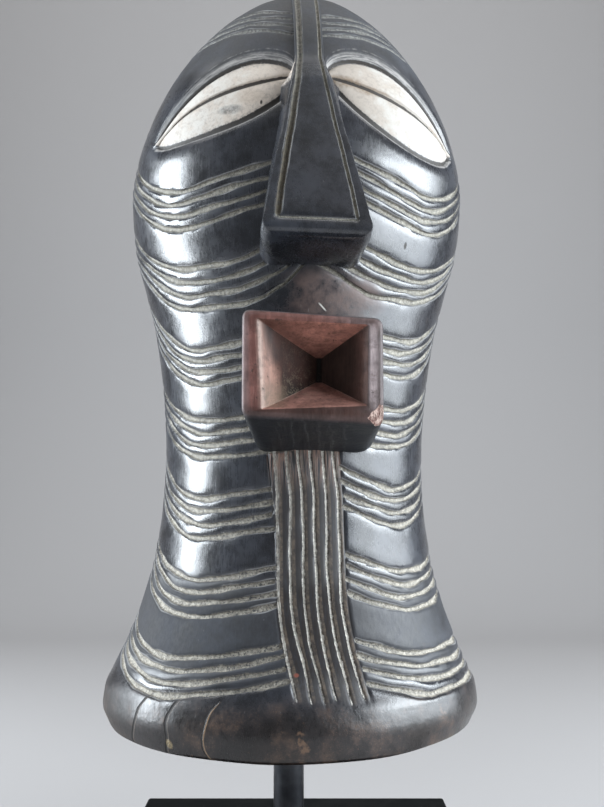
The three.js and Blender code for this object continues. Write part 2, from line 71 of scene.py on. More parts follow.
# Height, half width, reach of the middle of the front
PLAN = (
    (0, 78, 72.5), (1.6, 81.4, 74.8), (6, 84, 75.6), (11, 86, 76), (19, 85.2, 74), (27, 81.7, 70),
    (38, 76.7, 67), (56, 69.8, 63), (78, 64.1, 60), (102, 61.1, 58), (125, 60.5, 58), (149, 62, 61),
    (172, 65.2, 65), (197, 71, 69), (220, 77, 72), (243, 79.3, 73),
)
DOME_START = 243
DOME_SIDE = (1.65, 1.79)
DOME_FRONT = (1.89, 2.02)
CROWN_BEHIND_ROD = 5
RIM_LIFT = (2, 5, 20)

# Each group of cut lines: lowest height of its top line, pitch, rise to the middle, rise to the back, and
# where the inner rise starts and its change per line, for the left and the right half of the picture
GROUPS = (
    ("flare", (37.6, 4.7, 9, 18), (38.6, 5.2, 14.5, 2)),
    ("lower neck", (69.2, 5, 8, 23), (71.8, 5.3, 17.5, 10)),
    ("upper neck", (102.8, 5.5, 7, 26), (107, 5.2, 16, 20)),
    ("chin", (135.9, 5.2, 4, 27), (140.7, 5.2, 5, 27)),
    ("mouth side", (166.1, 4.8, 5, 37), (170.9, 5.2, 5, 31)),
    ("lower cheek", (200.2, 5.7, 15.5, 38, 34, -2), (201.1, 4.5, 18, 34, 46, -6)),
    ("upper cheek", (233.7, 5.5, 11, 42), (233.4, 5.3, 18, 42)),
    ("forehead", (322, 4.5, -6, 3), (318.6, 4.2, -4, -6)),
)
LINES_IN_GROUP = 4
# The groups below this one stop at the beard, and the higher ones run across the middle
BEARD_GROUPS = 3
FOREHEAD = 7
TURN_ANGLE = 42
FOREHEAD_TURN = 30
SWEEP_ANGLE = 70
MIDDLE_BLEND = (-9, 12)

# Inner corner, outer corner, top, bottom, slit and skew of each eye
EYE_LEFT = ((5, 281), (59, 259.5), 17, 14, 5.6, 0.68)
EYE_RIGHT = ((6, 281.5), (61, 259), 19, 17.5, 4, 1)
EYE_TAIL_RISE = 38

BEARD_TOP = 124
BEARD_FOOT = 23
BEARD_CUTS = 6
# From one upright cut to the next, in degrees and in millimetres
BEARD_PITCH = 4.8
BEARD_ARC = 4.86
BEARD_EDGE = BEARD_CUTS * BEARD_PITCH / 2
BEARD_DRIFT = ((20, 8), (31, 6.5), (47, 4), (62, 2.7), (102, 2), (124, 0), (150, 0))
BEARD_KEEPS_PITCH_OF = 58

# Reach, height, half the distance between the lines, edge, shoulder and root of the nose
NOSE_TIP = (97.9, 205.2, 16.7, 5.4, 0.6, 0.5)
NOSE_BRIDGE = (71.5, 284, 4.3, 1.3, 3.4, 6)
SHOULDER_AT = (0.8, 0.35)
NOSE_ROOT = 199.5
NOSE_ROLL = math.radians(1.5)
NOSE_SHIFT = (1.5, 1.5)
NOSE_CORNERS = (3.0, 4.6, 8.5)
NOSE_FOOT_LINE = 5.8
BURIED = 7
CREST_PROUD = 2
CREST_FLANK = (1.3, 0.9, 1.6)
CREST_END = ((0, 0, 90), (12, 2, 110), (24, 8, 124))

MOUTH_REACH = (50, 97)
MOUTH_FRONT = (27, 132.8, 173.5)
MOUTH_ROOT = (25.6, 121.2, 176.5)
MOUTH_SHIFT = 5.6
MOUTH_SLOPE = math.radians(3.2)
MOUTH_CORNER = 3.6
MOUTH_ROOT_CORNERS = (6.6, 12, 6.6, 6.6)
HOLLOW_CORNERS = ((-19.3, -17.5), (20.6, -13.4), (21, 17.4), (-21, 16.8))
HOLLOW_DEPTH = 22
HOLLOW_FLOOR = (1.8, 0.8, -3.4, 6)

# The tool's facets inside the hollow, in millimetres up and degrees round
FACET_HEIGHT = 13
FACET_ANGLE = 14

# The steel bar's socket in the block: radius, floor and a height well above the block
SOCKET = (7.3, 9.7, 40)

# How far a cut or a break is out of flat, and the chip at the mouth's lower right corner
UNEVEN_CUT = 0.22
CHIP_SIZE = (7, 6, 7.5)
CHIP_TURN = (0.5, 0.6, 0.7)

# Distances that stand for "no cut near here" and "no crack near here"
NO_CUT = 9.0
NO_CRACK = 99.0
CRACK_ARC = 1.5

# Where rows of points run: heights up the rim, shares of half a cut, millimetres below the eye's lower edge,
# shares of the way from the lower edge to the slit, on to the upper edge and the brow, and over the crown
RIM_ROWS = (0, 0.35, 0.9, 1.7, 2.8, 4.4, 6.2, 8.4, 11, 13.8, 16.6)
CUT_ROWS = (-1.2, -0.86, -0.45, 0, 0.45, 0.86, 1.2)
LID_ROWS = (4.0, 2.6, 1.6, 0.9, 0.4)
LOW_EYE_ROWS = (0, 0.06, 0.12, 0.19, 0.26, 0.36, 0.52, 0.68, 0.82, 1 - 0.085, 1 - 0.05)
HIGH_EYE_ROWS = (0, 0.06, 0.11, 0.25, 0.42, 0.6, 0.78, 0.91, 1)
BROW_ROWS = (0.1, 0.2, 0.4, 0.6, 0.8, 1)
CROWN_ROWS = (0.15, 0.3, 0.45, 0.58, 0.7, 0.8, 0.88, 0.94, 0.98)

# Where columns run: shares of the beard's pitch, then degrees out to the back
BEARD_COLUMNS = (-0.5, -0.38, -0.26, -0.16, -0.07, 0, 0.07, 0.16, 0.26, 0.38)
SIDE_COLUMNS = (15.1, 16, 17, 18.2, 19.6)
SIDE_STEP = 1.62
SIDE_END = 112
BACK_COLUMNS = (120, 132, 148, 164)

# Hair cracks up from the rim: height and angle along each
CRACKS = (
    ((0, -57), (3.9, -56), (10.2, -52.5), (17, -51), (20.5, -49), (26, -46)),
    ((0, -41.5), (1.9, -41), (9.3, -39), (14.6, -39.4), (18.5, -38), (25, -35)),
    ((0, -26), (1.5, -27), (5.8, -28), (11.2, -27.4), (18.5, -26), (24, -23)),
)


def clamp(t):
    return np.clip(t, 0.0, 1.0)


def mix(a, b, t):
    """The value a share of the way from a to b."""
    return a + (b - a) * t


def smooth(start, end, x):
    """Rises from 0 to 1 in an S between start and end."""
    t = clamp((x - start) / (end - start))
    return t * t * (3 - 2 * t)


def curve_through(points):
    """A smooth curve through (x, y) points that doesn't overshoot them."""
    xs, ys = (np.array(v, float) for v in zip(*points))
    slopes = np.diff(ys) / np.diff(xs)
    before, after = slopes[:-1], slopes[1:]
    same = before * after > 0
    inner = np.where(same, 2 * before * after / np.where(same, before + after, 1), 0)
    tangents = np.concatenate([slopes[:1], inner, slopes[-1:]])

    def at(x):
        x = np.clip(x, xs[0], xs[-1])
        i = np.clip(np.searchsorted(xs, x, side="right") - 1, 0, len(xs) - 2)
        h = xs[i + 1] - xs[i]
        t = (x - xs[i]) / h
        rise = (ys[i + 1] - ys[i]) * (3 * t**2 - 2 * t**3)
        return ys[i] + rise + h * t * (1 - t) * (tangents[i] * (1 - t) - tangents[i + 1] * t)

    return at


half_at = curve_through([p[:2] for p in PLAN])
reach_at = curve_through([(p[0], p[2]) for p in PLAN])
drift_at = curve_through(BEARD_DRIFT)
crack_at = [curve_through(c) for c in CRACKS]


def section(height):
    """Half width, front reach and middle of the mask's plan at a height."""
    height = np.asarray(height, float)
    rise = clamp((height - DOME_START) / (MASK_HEIGHT - DOME_START))
    side = (1 - rise ** DOME_SIDE[0]) ** (1 / DOME_SIDE[1])
    front = (1 - rise ** DOME_FRONT[0]) ** (1 / DOME_FRONT[1])
    half = half_at(height) * side
    middle = mix(LEAN[0], LEAN[1], height / MASK_HEIGHT)
    return half, reach_at(height) * front, middle, CROWN_BEHIND_ROD * (1 - front)


def lean_back(height):
    """How far the mask's side leans in at a height, in radians."""
    low = np.maximum(0, height - 1)
    high = np.minimum(MASK_HEIGHT, height + 1)
    return np.arctan2(section(low)[0] - section(high)[0], high - low)


def surface(angle, height, sink):
    """Points of the outside, at angles from the middle of the face and heights, sunk below it."""
    half, front, x, y = section(height)
    lean = lean_back(height)
    sin, cos = np.sin(np.radians(angle)), np.cos(np.radians(angle))
    depth = np.where(cos >= 0, front, half)
    level = np.cos(lean) * sink
    return np.stack([x + (half - level) * sin, y - (depth - level) * cos, height - np.sin(lean) * sink], -1)


def sweep_back(away, turn):
    """Share of a line's rise towards the back, past the angle where it turns."""
    return np.sin(np.pi / 2 * clamp((away - turn) / (TURN_ANGLE + SWEEP_ANGLE - turn))) ** 2


def hand(angle, key, size):
    """The small waver of a line cut by hand."""
    wave = np.sin(0.135 * angle + 2.1 * key) + 0.6 * np.sin(0.31 * angle + 3.7 * key + 1)
    return size * (wave + 0.35 * np.sin(0.83 * angle + 5.3 * key))


def line_height(group, line, angle, waver):
    """Height of a cut line of a group; line 0 is the top one, and half lines are the ridges between."""
    turn = FOREHEAD_TURN if group == FOREHEAD else TURN_ANGLE
    away = np.abs(angle)
    outer = sweep_back(away, turn)
    heights = []
    for side in GROUPS[group][1:]:
        start = side[4] + side[5] * line if len(side) > 4 else turn
        inner = (np.maximum(0, start - away) / start) ** (1.9 if len(side) > 4 else 1.35)
        heights.append(side[0] - side[1] * line + side[2] * inner + side[3] * outer)
    return mix(*heights, smooth(*MIDDLE_BLEND, angle)) + hand(angle, group * 1.3 + line * 0.9, waver)


def eye_heights(eye, angle):
    """One eye's edges at angles: bottom, slit, top, brow, and the way along it."""
    (inner_angle, inner_height), (outer_angle, outer_height), top, bottom, slit, skew = eye
    away = np.abs(angle)
    along = clamp((away - inner_angle) / (outer_angle - inner_angle))
    past = np.where(away > outer_angle, sweep_back(away, TURN_ANGLE) - sweep_back(outer_angle, TURN_ANGLE), 0)
    chord = mix(inner_height, outer_height, along) + EYE_TAIL_RISE * past
    is_open = (along > 0) & (along < 1)
    arc = lambda lean, power: np.where(is_open, np.abs(np.sin(np.pi * along**lean)) ** power, 0)
    slit_at = chord + slit * arc(1.6, 0.6) - 1.5 * along**2
    top_at = np.maximum(slit_at + 0.7, chord + top * arc(1, 0.55))
    bottom_at = np.minimum(slit_at - 0.7, chord - bottom * arc(skew, 0.62))
    return np.stack([bottom_at, slit_at, top_at, top_at + mix(5, 2, clamp(past)), along])


def eyes_at(angle):
    """Heights of the eye's lower edge, slit, upper edge and brow at angles, and the way along the eye."""
    return mix(eye_heights(EYE_LEFT, angle), eye_heights(EYE_RIGHT, angle), smooth(*MIDDLE_BLEND, angle))


def column_angle(phi, height):
    """The beard's columns follow its drift, and keep their distance where the neck widens."""
    hold = 1 - smooth(BEARD_EDGE, 45, np.abs(phi))
    spread = np.where(height < BEARD_TOP, BEARD_KEEPS_PITCH_OF / reach_at(height) - 1, 0)
    return phi + hold * (drift_at(height) + phi * spread)


class Outside:
    """The rows and columns of the mask's outside, and what is cut into it."""

    def __init__(self, sizes):
        self.s = sizes
        self.waver = sizes.waver / MM
        self.half_cut = sizes.cut_width / MM / 2
        self.depth = sizes.cut_depth / MM

    def rows(self):
        """Functions from an angle to a height, from the rim up."""
        rows = []
        left, right, fades = RIM_LIFT

        def rim(height):
            share = 1 - height / fades
            return lambda a: height + share * np.where(a < 0, left, right) * np.sin(np.radians(a)) ** 2

        def line(g, k, off=0.0):
            return lambda a: line_height(g, k, a, self.waver) + off

        def part(i, share=0.0, other=0, off=0.0):
            return lambda a: mix(eyes_at(a)[i], eyes_at(a)[other], share) + off

        def between(low, high, count):
            for i in range(1, count + 1):
                rows.append(lambda a, i=i: mix(low(a), high(a), i / (count + 1)))

        def group(g):
            rows.append(line(g, LINES_IN_GROUP - 0.5))
            for k in range(LINES_IN_GROUP - 1, -1, -1):
                rows.extend(line(g, k, f * self.half_cut) for f in CUT_ROWS)
                rows.append(line(g, k - 0.5))

        rows += [rim(h) for h in RIM_ROWS]
        between(rim(RIM_ROWS[-1]), line(0, LINES_IN_GROUP - 0.5), 9)
        for g in range(FOREHEAD):
            group(g)
            if g < FOREHEAD - 1:
                between(line(g, -0.5), line(g + 1, LINES_IN_GROUP - 0.5), 4)
        lid = [part(0, off=-o) for o in LID_ROWS]
        between(line(FOREHEAD - 1, -0.5), lid[0], 3)
        rows += lid
        for i, shares in enumerate((LOW_EYE_ROWS, HIGH_EYE_ROWS, BROW_ROWS)):
            rows += [part(i, share, i + 1) for share in shares]
        between(part(3), line(FOREHEAD, LINES_IN_GROUP - 0.5), 5)
        group(FOREHEAD)
        top = line(FOREHEAD, -0.5)
        rows += [lambda a, share=share: mix(top(a), MASK_HEIGHT, share) for share in CROWN_ROWS]
        return rows

    def columns(self):
        """Angles of the columns, closest together on the beard."""
        beard = [(k + 0.5 + f) * BEARD_PITCH - BEARD_EDGE for k in range(BEARD_CUTS) for f in BEARD_COLUMNS]
        side = list(SIDE_COLUMNS)
        while side[-1] < SIDE_END:
            side.append(side[-1] + SIDE_STEP)
        side += BACK_COLUMNS
        return np.array([-a for a in side[::-1]] + beard + [BEARD_EDGE] + side + [180.0])

    def beard(self, phi, height):
        """Distance from the nearest upright cut, the way across in cuts, and the share of beard here."""
        across = (phi + BEARD_EDGE) / BEARD_PITCH
        cut = np.clip(np.floor(across), 0, BEARD_CUTS - 1)
        wave = 0.045 * np.sin(0.085 * height + 1.9 * cut) + 0.025 * np.sin(0.21 * height + 2.7 * cut)
        off = np.abs(across + wave - cut - 0.5) * BEARD_ARC
        left = self.beard_left(height)
        share = smooth(left - 0.12, left + 0.05, across)
        share = share * (1 - smooth(BEARD_CUTS - 0.05, BEARD_CUTS + 0.12, across))
        foot = BEARD_FOOT + 1.0 * np.sin(2.4 * cut + 0.6)
        share = share * smooth(foot - 1, foot + 3, height) * (height < BEARD_TOP + 6)
        border = np.minimum(np.abs(across - left), np.abs(across - BEARD_CUTS)) * BEARD_ARC
        return off, across, share, border

    def beard_left(self, height):
        """Where the beard's left border runs, in cuts: closer in below the upper neck."""
        return 0.36 * (1 - smooth(84, 106, height))

    def groove_distance(self, angle, height, across):
        """How far points are from the nearest zig-zag cut; low cuts stop at the beard's borders."""
        cut = np.full(np.shape(angle), NO_CUT)
        for g in range(len(GROUPS)):
            for k in range(LINES_IN_GROUP):
                d = np.abs(height - line_height(g, k, angle, self.waver))
                thin = 1 + 0.16 * np.sin(0.16 * angle + 2.3 * g + 1.7 * k)
                thin = thin + 0.12 * np.sin(0.41 * angle + 3 * k + g)
                d = d * thin + 0.32 * (1 - smooth(6, 30, np.abs(angle))) * (g >= BEARD_GROUPS)
                if g < BEARD_GROUPS:
                    end = 0.12 * np.sin(2.9 * g + 4.3 * k)
                    left = self.beard_left(height) - across
                    d = d + NO_CUT * (1 - smooth(-0.3 + end, 0.02 + end, left)) * (across < BEARD_CUTS / 2)
                    right = across - BEARD_CUTS
                    d = d + NO_CUT * (1 - smooth(-0.25 + end, 0.07 + end, right)) * (across >= BEARD_CUTS / 2)
                cut = np.minimum(cut, d)
        return cut

    def eye(self, angle, height):
        """The eye's marks, how far it is sunk, and whether points lie between its edges."""
        bottom, slit, top, brow, along = eyes_at(angle)
        opened = top - bottom
        lens = smooth(1.4, 6, opened)
        unpainted = mix(1.6, 3.2, clamp((52 - np.abs(angle)) / 42)) * clamp(opened / 7)
        channel = 0.6 * unpainted
        inside = np.minimum(height - bottom - unpainted, top - height) - 1.6 * (1 - smooth(1.4, 4, opened))
        slit_width = (0.45 + 0.6 * np.sin(np.pi * clamp(along) ** 0.7)) * smooth(0.01, 0.06, along)
        off_slit = np.abs(height - slit) - slit_width * smooth(0, 0.05, 1 - along)
        marks = np.stack([inside, off_slit, np.where(height > slit, 1.0, -1.0) * lens], -1)

        deep = self.s.eye_sink / MM
        ball = clamp((height - bottom - channel) / np.maximum(0.1, top - bottom - channel))
        dome = deep - self.s.eye_bulge / MM * np.sin(np.pi * ball) ** 0.7
        dome = dome + 0.8 * (1 - smooth(-0.2, 0.45, off_slit))
        step = deep * (0.5 * (1 - smooth(0, 0.9, bottom - height)) + 0.5 * (1 - clamp((bottom - height) / 4)))
        slant = deep * (0.35 * (1 - smooth(0, 0.7, height - top)) + 0.65 * (1 - clamp((height - top) / 5)))
        within = (height >= bottom) & (height <= top)
        sink = np.where(within, dome, np.where(height < bottom, step, slant)) * lens
        reach = (height > bottom - LID_ROWS[0]) & (height < brow + 0.5)
        return marks, np.where(reach, sink, 0), within

    def marks(self, phi, angle, height):
        """What shows at points of the outside, and how far each point is sunk."""
        off_beard, across, share, border = self.beard(phi, height)
        cut = self.groove_distance(angle, height, across)
        eyes, eye_sink, within = self.eye(angle, height)

        half = self.half_cut
        depth = self.depth * np.where(height > 295, 0.6, 1.0)
        sink = depth * (1 - smooth(0.45 * half, 1.08 * half, cut))
        sink = sink + 0.28 * (1 - smooth(1.0 * half, 2.1 * half, cut)) * (height < 300)
        sink = np.maximum(sink, eye_sink)
        cut_beard = 0.8 * (1 - smooth(0.25, 0.8, off_beard))
        rib = 0.16 * (0.5 + 0.5 * np.cos(2 * np.pi * (off_beard / BEARD_ARC)))
        edge = 0.7 * (1 - smooth(0, 0.75, border))
        sink = np.maximum(sink, share * np.maximum(np.maximum(cut_beard, rib), edge))
        tool = np.sin(0.075 * angle + 0.045 * height) * np.sin(0.05 * height - 0.11 * angle + 1.3)
        tool = 0.22 * tool + 0.1 * np.sin(0.19 * angle + 0.13 * height) * np.sin(0.21 * height + 0.6)
        sink = sink + self.s.tool_marks / MM * (tool + 0.2) * (1 - 0.7 * within)
        return sink, {
            "cuts": np.stack([cut, off_beard + NO_CUT * (share < 0.02), share], -1),
            "eyes": eyes,
            "place": np.stack([angle, height, across], -1),
            "cracks": np.stack([(angle - at(height)) * CRACK_ARC for at in crack_at], -1),
        }

    def rings(self):
        """The outside's rings of points, its topmost point, and the marks of each point."""
        columns = self.columns()
        points, marks = [], []
        for row in self.rows():
            angle = column_angle(columns, row(columns))
            height = row(angle)
            sink, row_marks = self.marks(columns, angle, height)
            points.append(surface(angle, height, sink))
            marks.append(row_marks)
        rings = np.stack(points)
        top = section(MASK_HEIGHT)
        data = {k: with_caps(np.concatenate([m[k] for m in marks])) for k in marks[0]}
        return rings, np.array([top[2], top[3], MASK_HEIGHT]), data


# Closed shapes from rings of points


def closed(rings, below, above):
    """Points and faces of a solid through rings of equal length, capped by a point at each end."""
    rows, count = rings.shape[:2]
    points = np.concatenate([below[None], rings.reshape(-1, 3), above[None]])
    at = lambda r, c: 1 + r * count + c % count
    c = np.arange(count)
    faces = [(0, int(b), int(a)) for a, b in zip(at(0, c), at(0, c + 1))]
    for r in range(rows - 1):
        quads = np.stack([at(r, c), at(r, c + 1), at(r + 1, c + 1), at(r + 1, c)], -1)
        faces += [tuple(q) for q in quads.tolist()]
    last = len(points) - 1
    faces += [(int(a), int(b), last) for a, b in zip(at(rows - 1, c), at(rows - 1, c + 1))]
    return points, faces


def with_caps(values):
    """Values of the rings' points, repeated for the point at each end of a closed solid."""
    return np.concatenate([values[:1], values, values[-1:]])


def in_row(points):
    """From the mask's own millimetres to the row frame in metres."""
    points = np.asarray(points, float)
    cos, sin = math.cos(MASK_TURN), math.sin(MASK_TURN)
    x, y, z = points[..., 0], points[..., 1], points[..., 2]
    return np.stack([ROD_X + x * cos - y * sin, x * sin + y * cos, RIM_ABOVE_TABLE + z], -1) * MM


def solid(name, points, faces, material):
    """A new object in the scene with one material; its points are in metres."""
    mesh = bpy.data.meshes.new(name)
    mesh.from_pydata(points.tolist(), [], faces)
    mesh.materials.append(material)
    mesh.update()
    made = bpy.data.objects.new(name, mesh)
    bpy.context.scene.collection.objects.link(made)
    return made


def ring_solid(name, rings, material, below=None, above=None):
    """A solid through rings in the mask's own millimetres, and its points in the row frame."""
    below = rings[0].mean(0) if below is None else below
    above = rings[-1].mean(0) if above is None else above
    points, faces = closed(rings, below, above)
    points = in_row(points)
    return solid(name, points, faces, material), points


def tube_rings(levels, sides=96):
    """Rings round the bar's middle, from heights and radii."""
    turn = np.arange(sides) * 2 * math.pi / sides
    return np.array([
        np.stack([ROD_X + r * np.cos(turn), r * np.sin(turn), np.full(sides, z)], -1) for z, r in levels
    ])


def cut_solid(base, steps):
    """The base with solids joined to it or taken from it, as one new mesh; the solids are used up."""
    for other, operation in steps:
        step = base.modifiers.new(operation.lower(), "BOOLEAN")
        step.object, step.operation = other, operation
        step.solver = "MANIFOLD"
        step.material_mode = "TRANSFER"
    graph = bpy.context.evaluated_depsgraph_get()
    mesh = bpy.data.meshes.new_from_object(base.evaluated_get(graph))
    if len(mesh.polygons) < 1000:
        raise RuntimeError("the solids could not be cut")
    for spare in [base] + [other for other, _ in steps]:
        old = spare.data
        bpy.data.objects.remove(spare)
        bpy.data.meshes.remove(old)
    return mesh


def corner_inset(radius, up):
    """How far a rounded corner of a radius is drawn in, this far up from its lower side."""
    return radius - math.sqrt(radius**2 - (radius - up) ** 2) if up < radius else 0


def nose_section(root, front, half_lines, flank, share, panel_sink, round_off, groove_depth):
    """Points across the nose or crest, and each one's distance from its cut lines."""
    edge = half_lines + flank[0]
    shoulder, base = edge + flank[1], edge + flank[2]
    bulge = mix(*SHOULDER_AT, share)
    length = math.hypot(front[0] - root[0], front[1] - root[1])
    # The flank, as the way across and the share of the way out
    right = [(base, 0), (mix(base, shoulder, 0.5), bulge * 0.5), (shoulder, bulge)]
    for t in (0.35, 0.62, 0.82, 0.94):
        right.append((mix(shoulder, edge, t), bulge + (1 - bulge) * (1 - (1 - t) ** 2)))
    right.append((edge - 0.25, 1))
    # The front, as the way across and the distance from the nearer line
    across = []
    for side, width in ((-1, 1.45), (1, 0.8)):
        width = min(width, flank[0] + 0.2)
        for f in (1.25, 0.85, 0.4, 0, -0.4, -0.85, -1.25):
            across.append((side * half_lines + f * side * width, abs(f) * 1.15))
    inner = half_lines - 2.4
    across += [(inner * f, NO_CUT) for f in (-0.8, -0.45, 0, 0.45, 0.8)]
    across.sort()
    outline = [(x, out, NO_CUT, 0.0) for x, out in right[:1]]
    outline += [(-x, out, NO_CUT, 0.0) for x, out in right]
    for x, off_line in across:
        groove = groove_depth * (1 - smooth(0.3, 1.1, off_line))
        within = abs(x) < half_lines
        crown = 0.25 * (1 - (x / edge) ** 2)
        outline.append((x, 1, off_line, max(groove, panel_sink if within else 0) - crown))
    outline += [(x, out, NO_CUT, 0.0) for x, out in right[:0:-1]]
    points, marks = [], []
    for x, out, off_line, sink in outline:
        out = out - (sink + round_off * (out > 0.9)) / length
        reach, height = mix(root[0], front[0], out), mix(root[1], front[1], out)
        axis = float(section(height)[2]) + (1 - share) * mix(*NOSE_SHIFT, out)
        points.append((axis + x, -reach, height - (1 - share) * math.tan(NOSE_ROLL) * x * out))
        marks.append((off_line, x / half_lines, out, height))
    return points, marks


def nose_rings(sizes):
    """The nose from its tip up, and the crest that runs on over the crown."""
    rings, marks = [], []
    depth = sizes.cut_depth / MM * 0.9

    def add(*section_of, up):
        points, found = nose_section(*section_of)
        rings.append(points)
        off_foot = 1.3 * abs(up - NOSE_FOOT_LINE)
        below = NO_CUT * (up < NOSE_FOOT_LINE - 0.1)
        marks.append([
            (min(off_line + below, off_foot if abs(x) < 1 else NO_CUT), x, out, height)
            for off_line, x, out, height in found
        ])

    length = NOSE_BRIDGE[1] - NOSE_TIP[1]
    cut_across = ((-1, 0.15), (-0.6, 0.6), (-0.2, 0.95), (0.2, 0.95), (0.6, 0.6), (1, 0.15))
    ups = [(u, 0) for u in (0, 0.06, 0.2, 0.5, 0.9, 1.4, 2, 2.7, 3.4, 4.2)]
    ups += [(NOSE_FOOT_LINE + off, deep) for off, deep in cut_across]
    ups += [(u, 0) for u in (7.5, 8.4, *np.linspace(9.6, 72.8, 30))]
    for up, panel in ups:
        share = up / length
        half = mix(NOSE_TIP[2], NOSE_BRIDGE[2], share) + hand(up, 2.0, 0.12)
        root_height = mix(NOSE_ROOT - 2, NOSE_BRIDGE[1] - 2, share)
        root = (float(reach_at(root_height)) - BURIED, root_height)
        front = (mix(NOSE_TIP[0], NOSE_BRIDGE[0], share), NOSE_TIP[1] + up)
        flank = [mix(NOSE_TIP[i], NOSE_BRIDGE[i], share) for i in (3, 4, 5)]
        round_off, edge_inset, root_inset = (corner_inset(r, up) for r in NOSE_CORNERS)
        flank[0] -= edge_inset
        flank[2] -= root_inset - edge_inset
        add(root, front, half, flank, share, panel * depth, round_off, depth * smooth(5.0, 6.2, up), up=up)

    def crest(reach, height, tilt):
        inward = (math.cos(tilt), math.sin(tilt))
        root = (reach - BURIED * inward[0], height - BURIED * inward[1])
        front = (reach + CREST_PROUD * inward[0], height + CREST_PROUD * inward[1])
        add(root, front, NOSE_BRIDGE[2], CREST_FLANK, 1, 0, 0, depth * 0.8, up=height - NOSE_TIP[1])

    meridian = lambda h: float(section(h)[1] - section(h)[3])
    for h in (*range(288, 334, 3), 335.5, 338, 340, 342, 343.5):
        crest(meridian(h), h, math.atan2(meridian(h - 1) - meridian(h + 1), 2))
    for behind, drop, tilt in CREST_END:
        crest(-CROWN_BEHIND_ROD - behind, MASK_HEIGHT - drop, math.radians(tilt))
    rings = np.array(rings)
    marks = np.array(marks)
    caps, cap_marks = [], []
    middle = rings[0].mean(0)
    for f in (0.12, 0.26, 0.42, 0.58, 0.74, 0.88):
        cap = mix(middle, rings[0], f)
        facet = np.abs((cap[:, 1] / 4.6) % 1 - 0.5) * 1.1 - 0.3
        cap[:, 2] += facet * (1 - f**4)
        caps.append(cap)
        blank = np.zeros(len(cap))
        cap_marks.append(np.stack([blank + NO_CUT, blank, blank, cap[:, 2]], -1))
    rings = np.concatenate([np.array(caps), rings])
    marks = np.concatenate([np.array(cap_marks), marks])
    return rings, middle, marks


def quad_outline(corners, radius, per_side, per_corner):
    """Points round a four-cornered outline with rounded corners, from the lower left corner round."""
    corners = [Vector(c) for c in corners]
    radii = radius if isinstance(radius, (list, tuple)) else [radius] * 4
    points = []
    for i, corner in enumerate(corners):
        before, after = corners[i - 1] - corner, corners[(i + 1) % 4] - corner
        a, b = corner + before.normalized() * radii[i], corner + after.normalized() * radii[i]
        for k in range(per_corner + 1):
            t = k / per_corner
            points.append((a * (1 - t) ** 2 + corner * (2 * t * (1 - t)) + b * t * t)[:])
        nearby = corners[(i + 1) % 4]
        end = nearby + (corner - nearby).normalized() * radii[(i + 1) % 4]
        for k in range(1, per_side):
            points.append((b.lerp(end, k / per_side))[:])
    return np.array(points)


def mouth_place(x, z, reach):
    """Points of the tilted mouth block, from the way across, the height and the reach."""
    middle = (MOUTH_FRONT[1] + MOUTH_FRONT[2]) / 2
    inward = (MOUTH_REACH[1] - reach) / (MOUTH_REACH[1] - MOUTH_REACH[0])
    axis = float(section(middle)[2]) + MOUTH_SHIFT * inward
    reach = np.broadcast_to(reach, np.shape(x))
    return np.stack([axis + x, -reach, z - (1 - inward) * math.tan(MOUTH_SLOPE) * x], -1)


def mouth_rings():
    """The block from its root to its front, on over the frame and down the hollow's four facets."""
    rings, marks = [], []
    near, far = MOUTH_REACH

    def add(corners, radius, reach, zone, wear=None):
        flat = quad_outline(corners, radius, 14, 6)
        depth = np.full(len(flat), float(reach))
        if wear is not None:
            depth = depth - wear(flat)
        rings.append(mouth_place(flat[:, 0], flat[:, 1], depth))
        marks.append(np.stack([np.full(len(flat), float(zone)), flat[:, 0], flat[:, 1]], -1))

    def box(share, inset):
        half, low, high = (mix(a, b, share) for a, b in zip(MOUTH_ROOT, MOUTH_FRONT))
        half, low, high = half - inset, low + inset, high - inset
        return [(-half, low), (half, low), (half, high), (-half, high)]

    fronts = ((50, 0), (58, 0), (66, 0), (74, 0), (82, 0), (89, 0), (93.5, 0), (95.4, 0.03), (96.2, 0.35))
    for reach, inset in fronts + ((96.7, 0.85), (97, 1.7)):
        share = (reach - near) / (far - near)
        radii = [mix(r, MOUTH_CORNER, share) - inset * 0.3 for r in MOUTH_ROOT_CORNERS]
        add(box(min(share, 1), inset), radii, reach, share)
    middle = (MOUTH_FRONT[1] + MOUTH_FRONT[2]) / 2
    rim = [(x, middle + z) for x, z in HOLLOW_CORNERS]
    x, half, low, high = HOLLOW_FLOOR
    left, right, low, high = x - half, x + half, middle + low, middle + high
    floor = [(left, low), (right, low), (right, high), (left, high)]
    outer = box(1, 1.7)
    blend = lambda a, b, t: [tuple(mix(np.array(p), np.array(q), t)) for p, q in zip(a, b)]
    uneven = lambda f: 0.1 + 0.12 * np.sin(f[:, 0] * 0.4) * np.sin(f[:, 1] * 0.3)
    for t in (0.35, 0.7, 0.92):
        add(blend(outer, rim, t), mix(3.1, 0.9, t), 97, 1 + t, uneven)
    for t in (0, 0.03, 0.08, 0.16, 0.26, 0.37, 0.48, 0.59, 0.7, 0.8, 0.89, 0.96, 1):
        reach = far - 0.3 * (t == 0) - HOLLOW_DEPTH * t
        belly = math.sin(math.pi * t) * 0.9
        knife = lambda f: belly + 0.12 * np.sin(f[:, 0] * 1.1) * np.cos(f[:, 1] * 0.9)
        add(blend(rim, floor, t), 0.8 * (1 - t) + 0.12, reach, 2 + t, knife)
    return np.array(rings), np.array(marks)


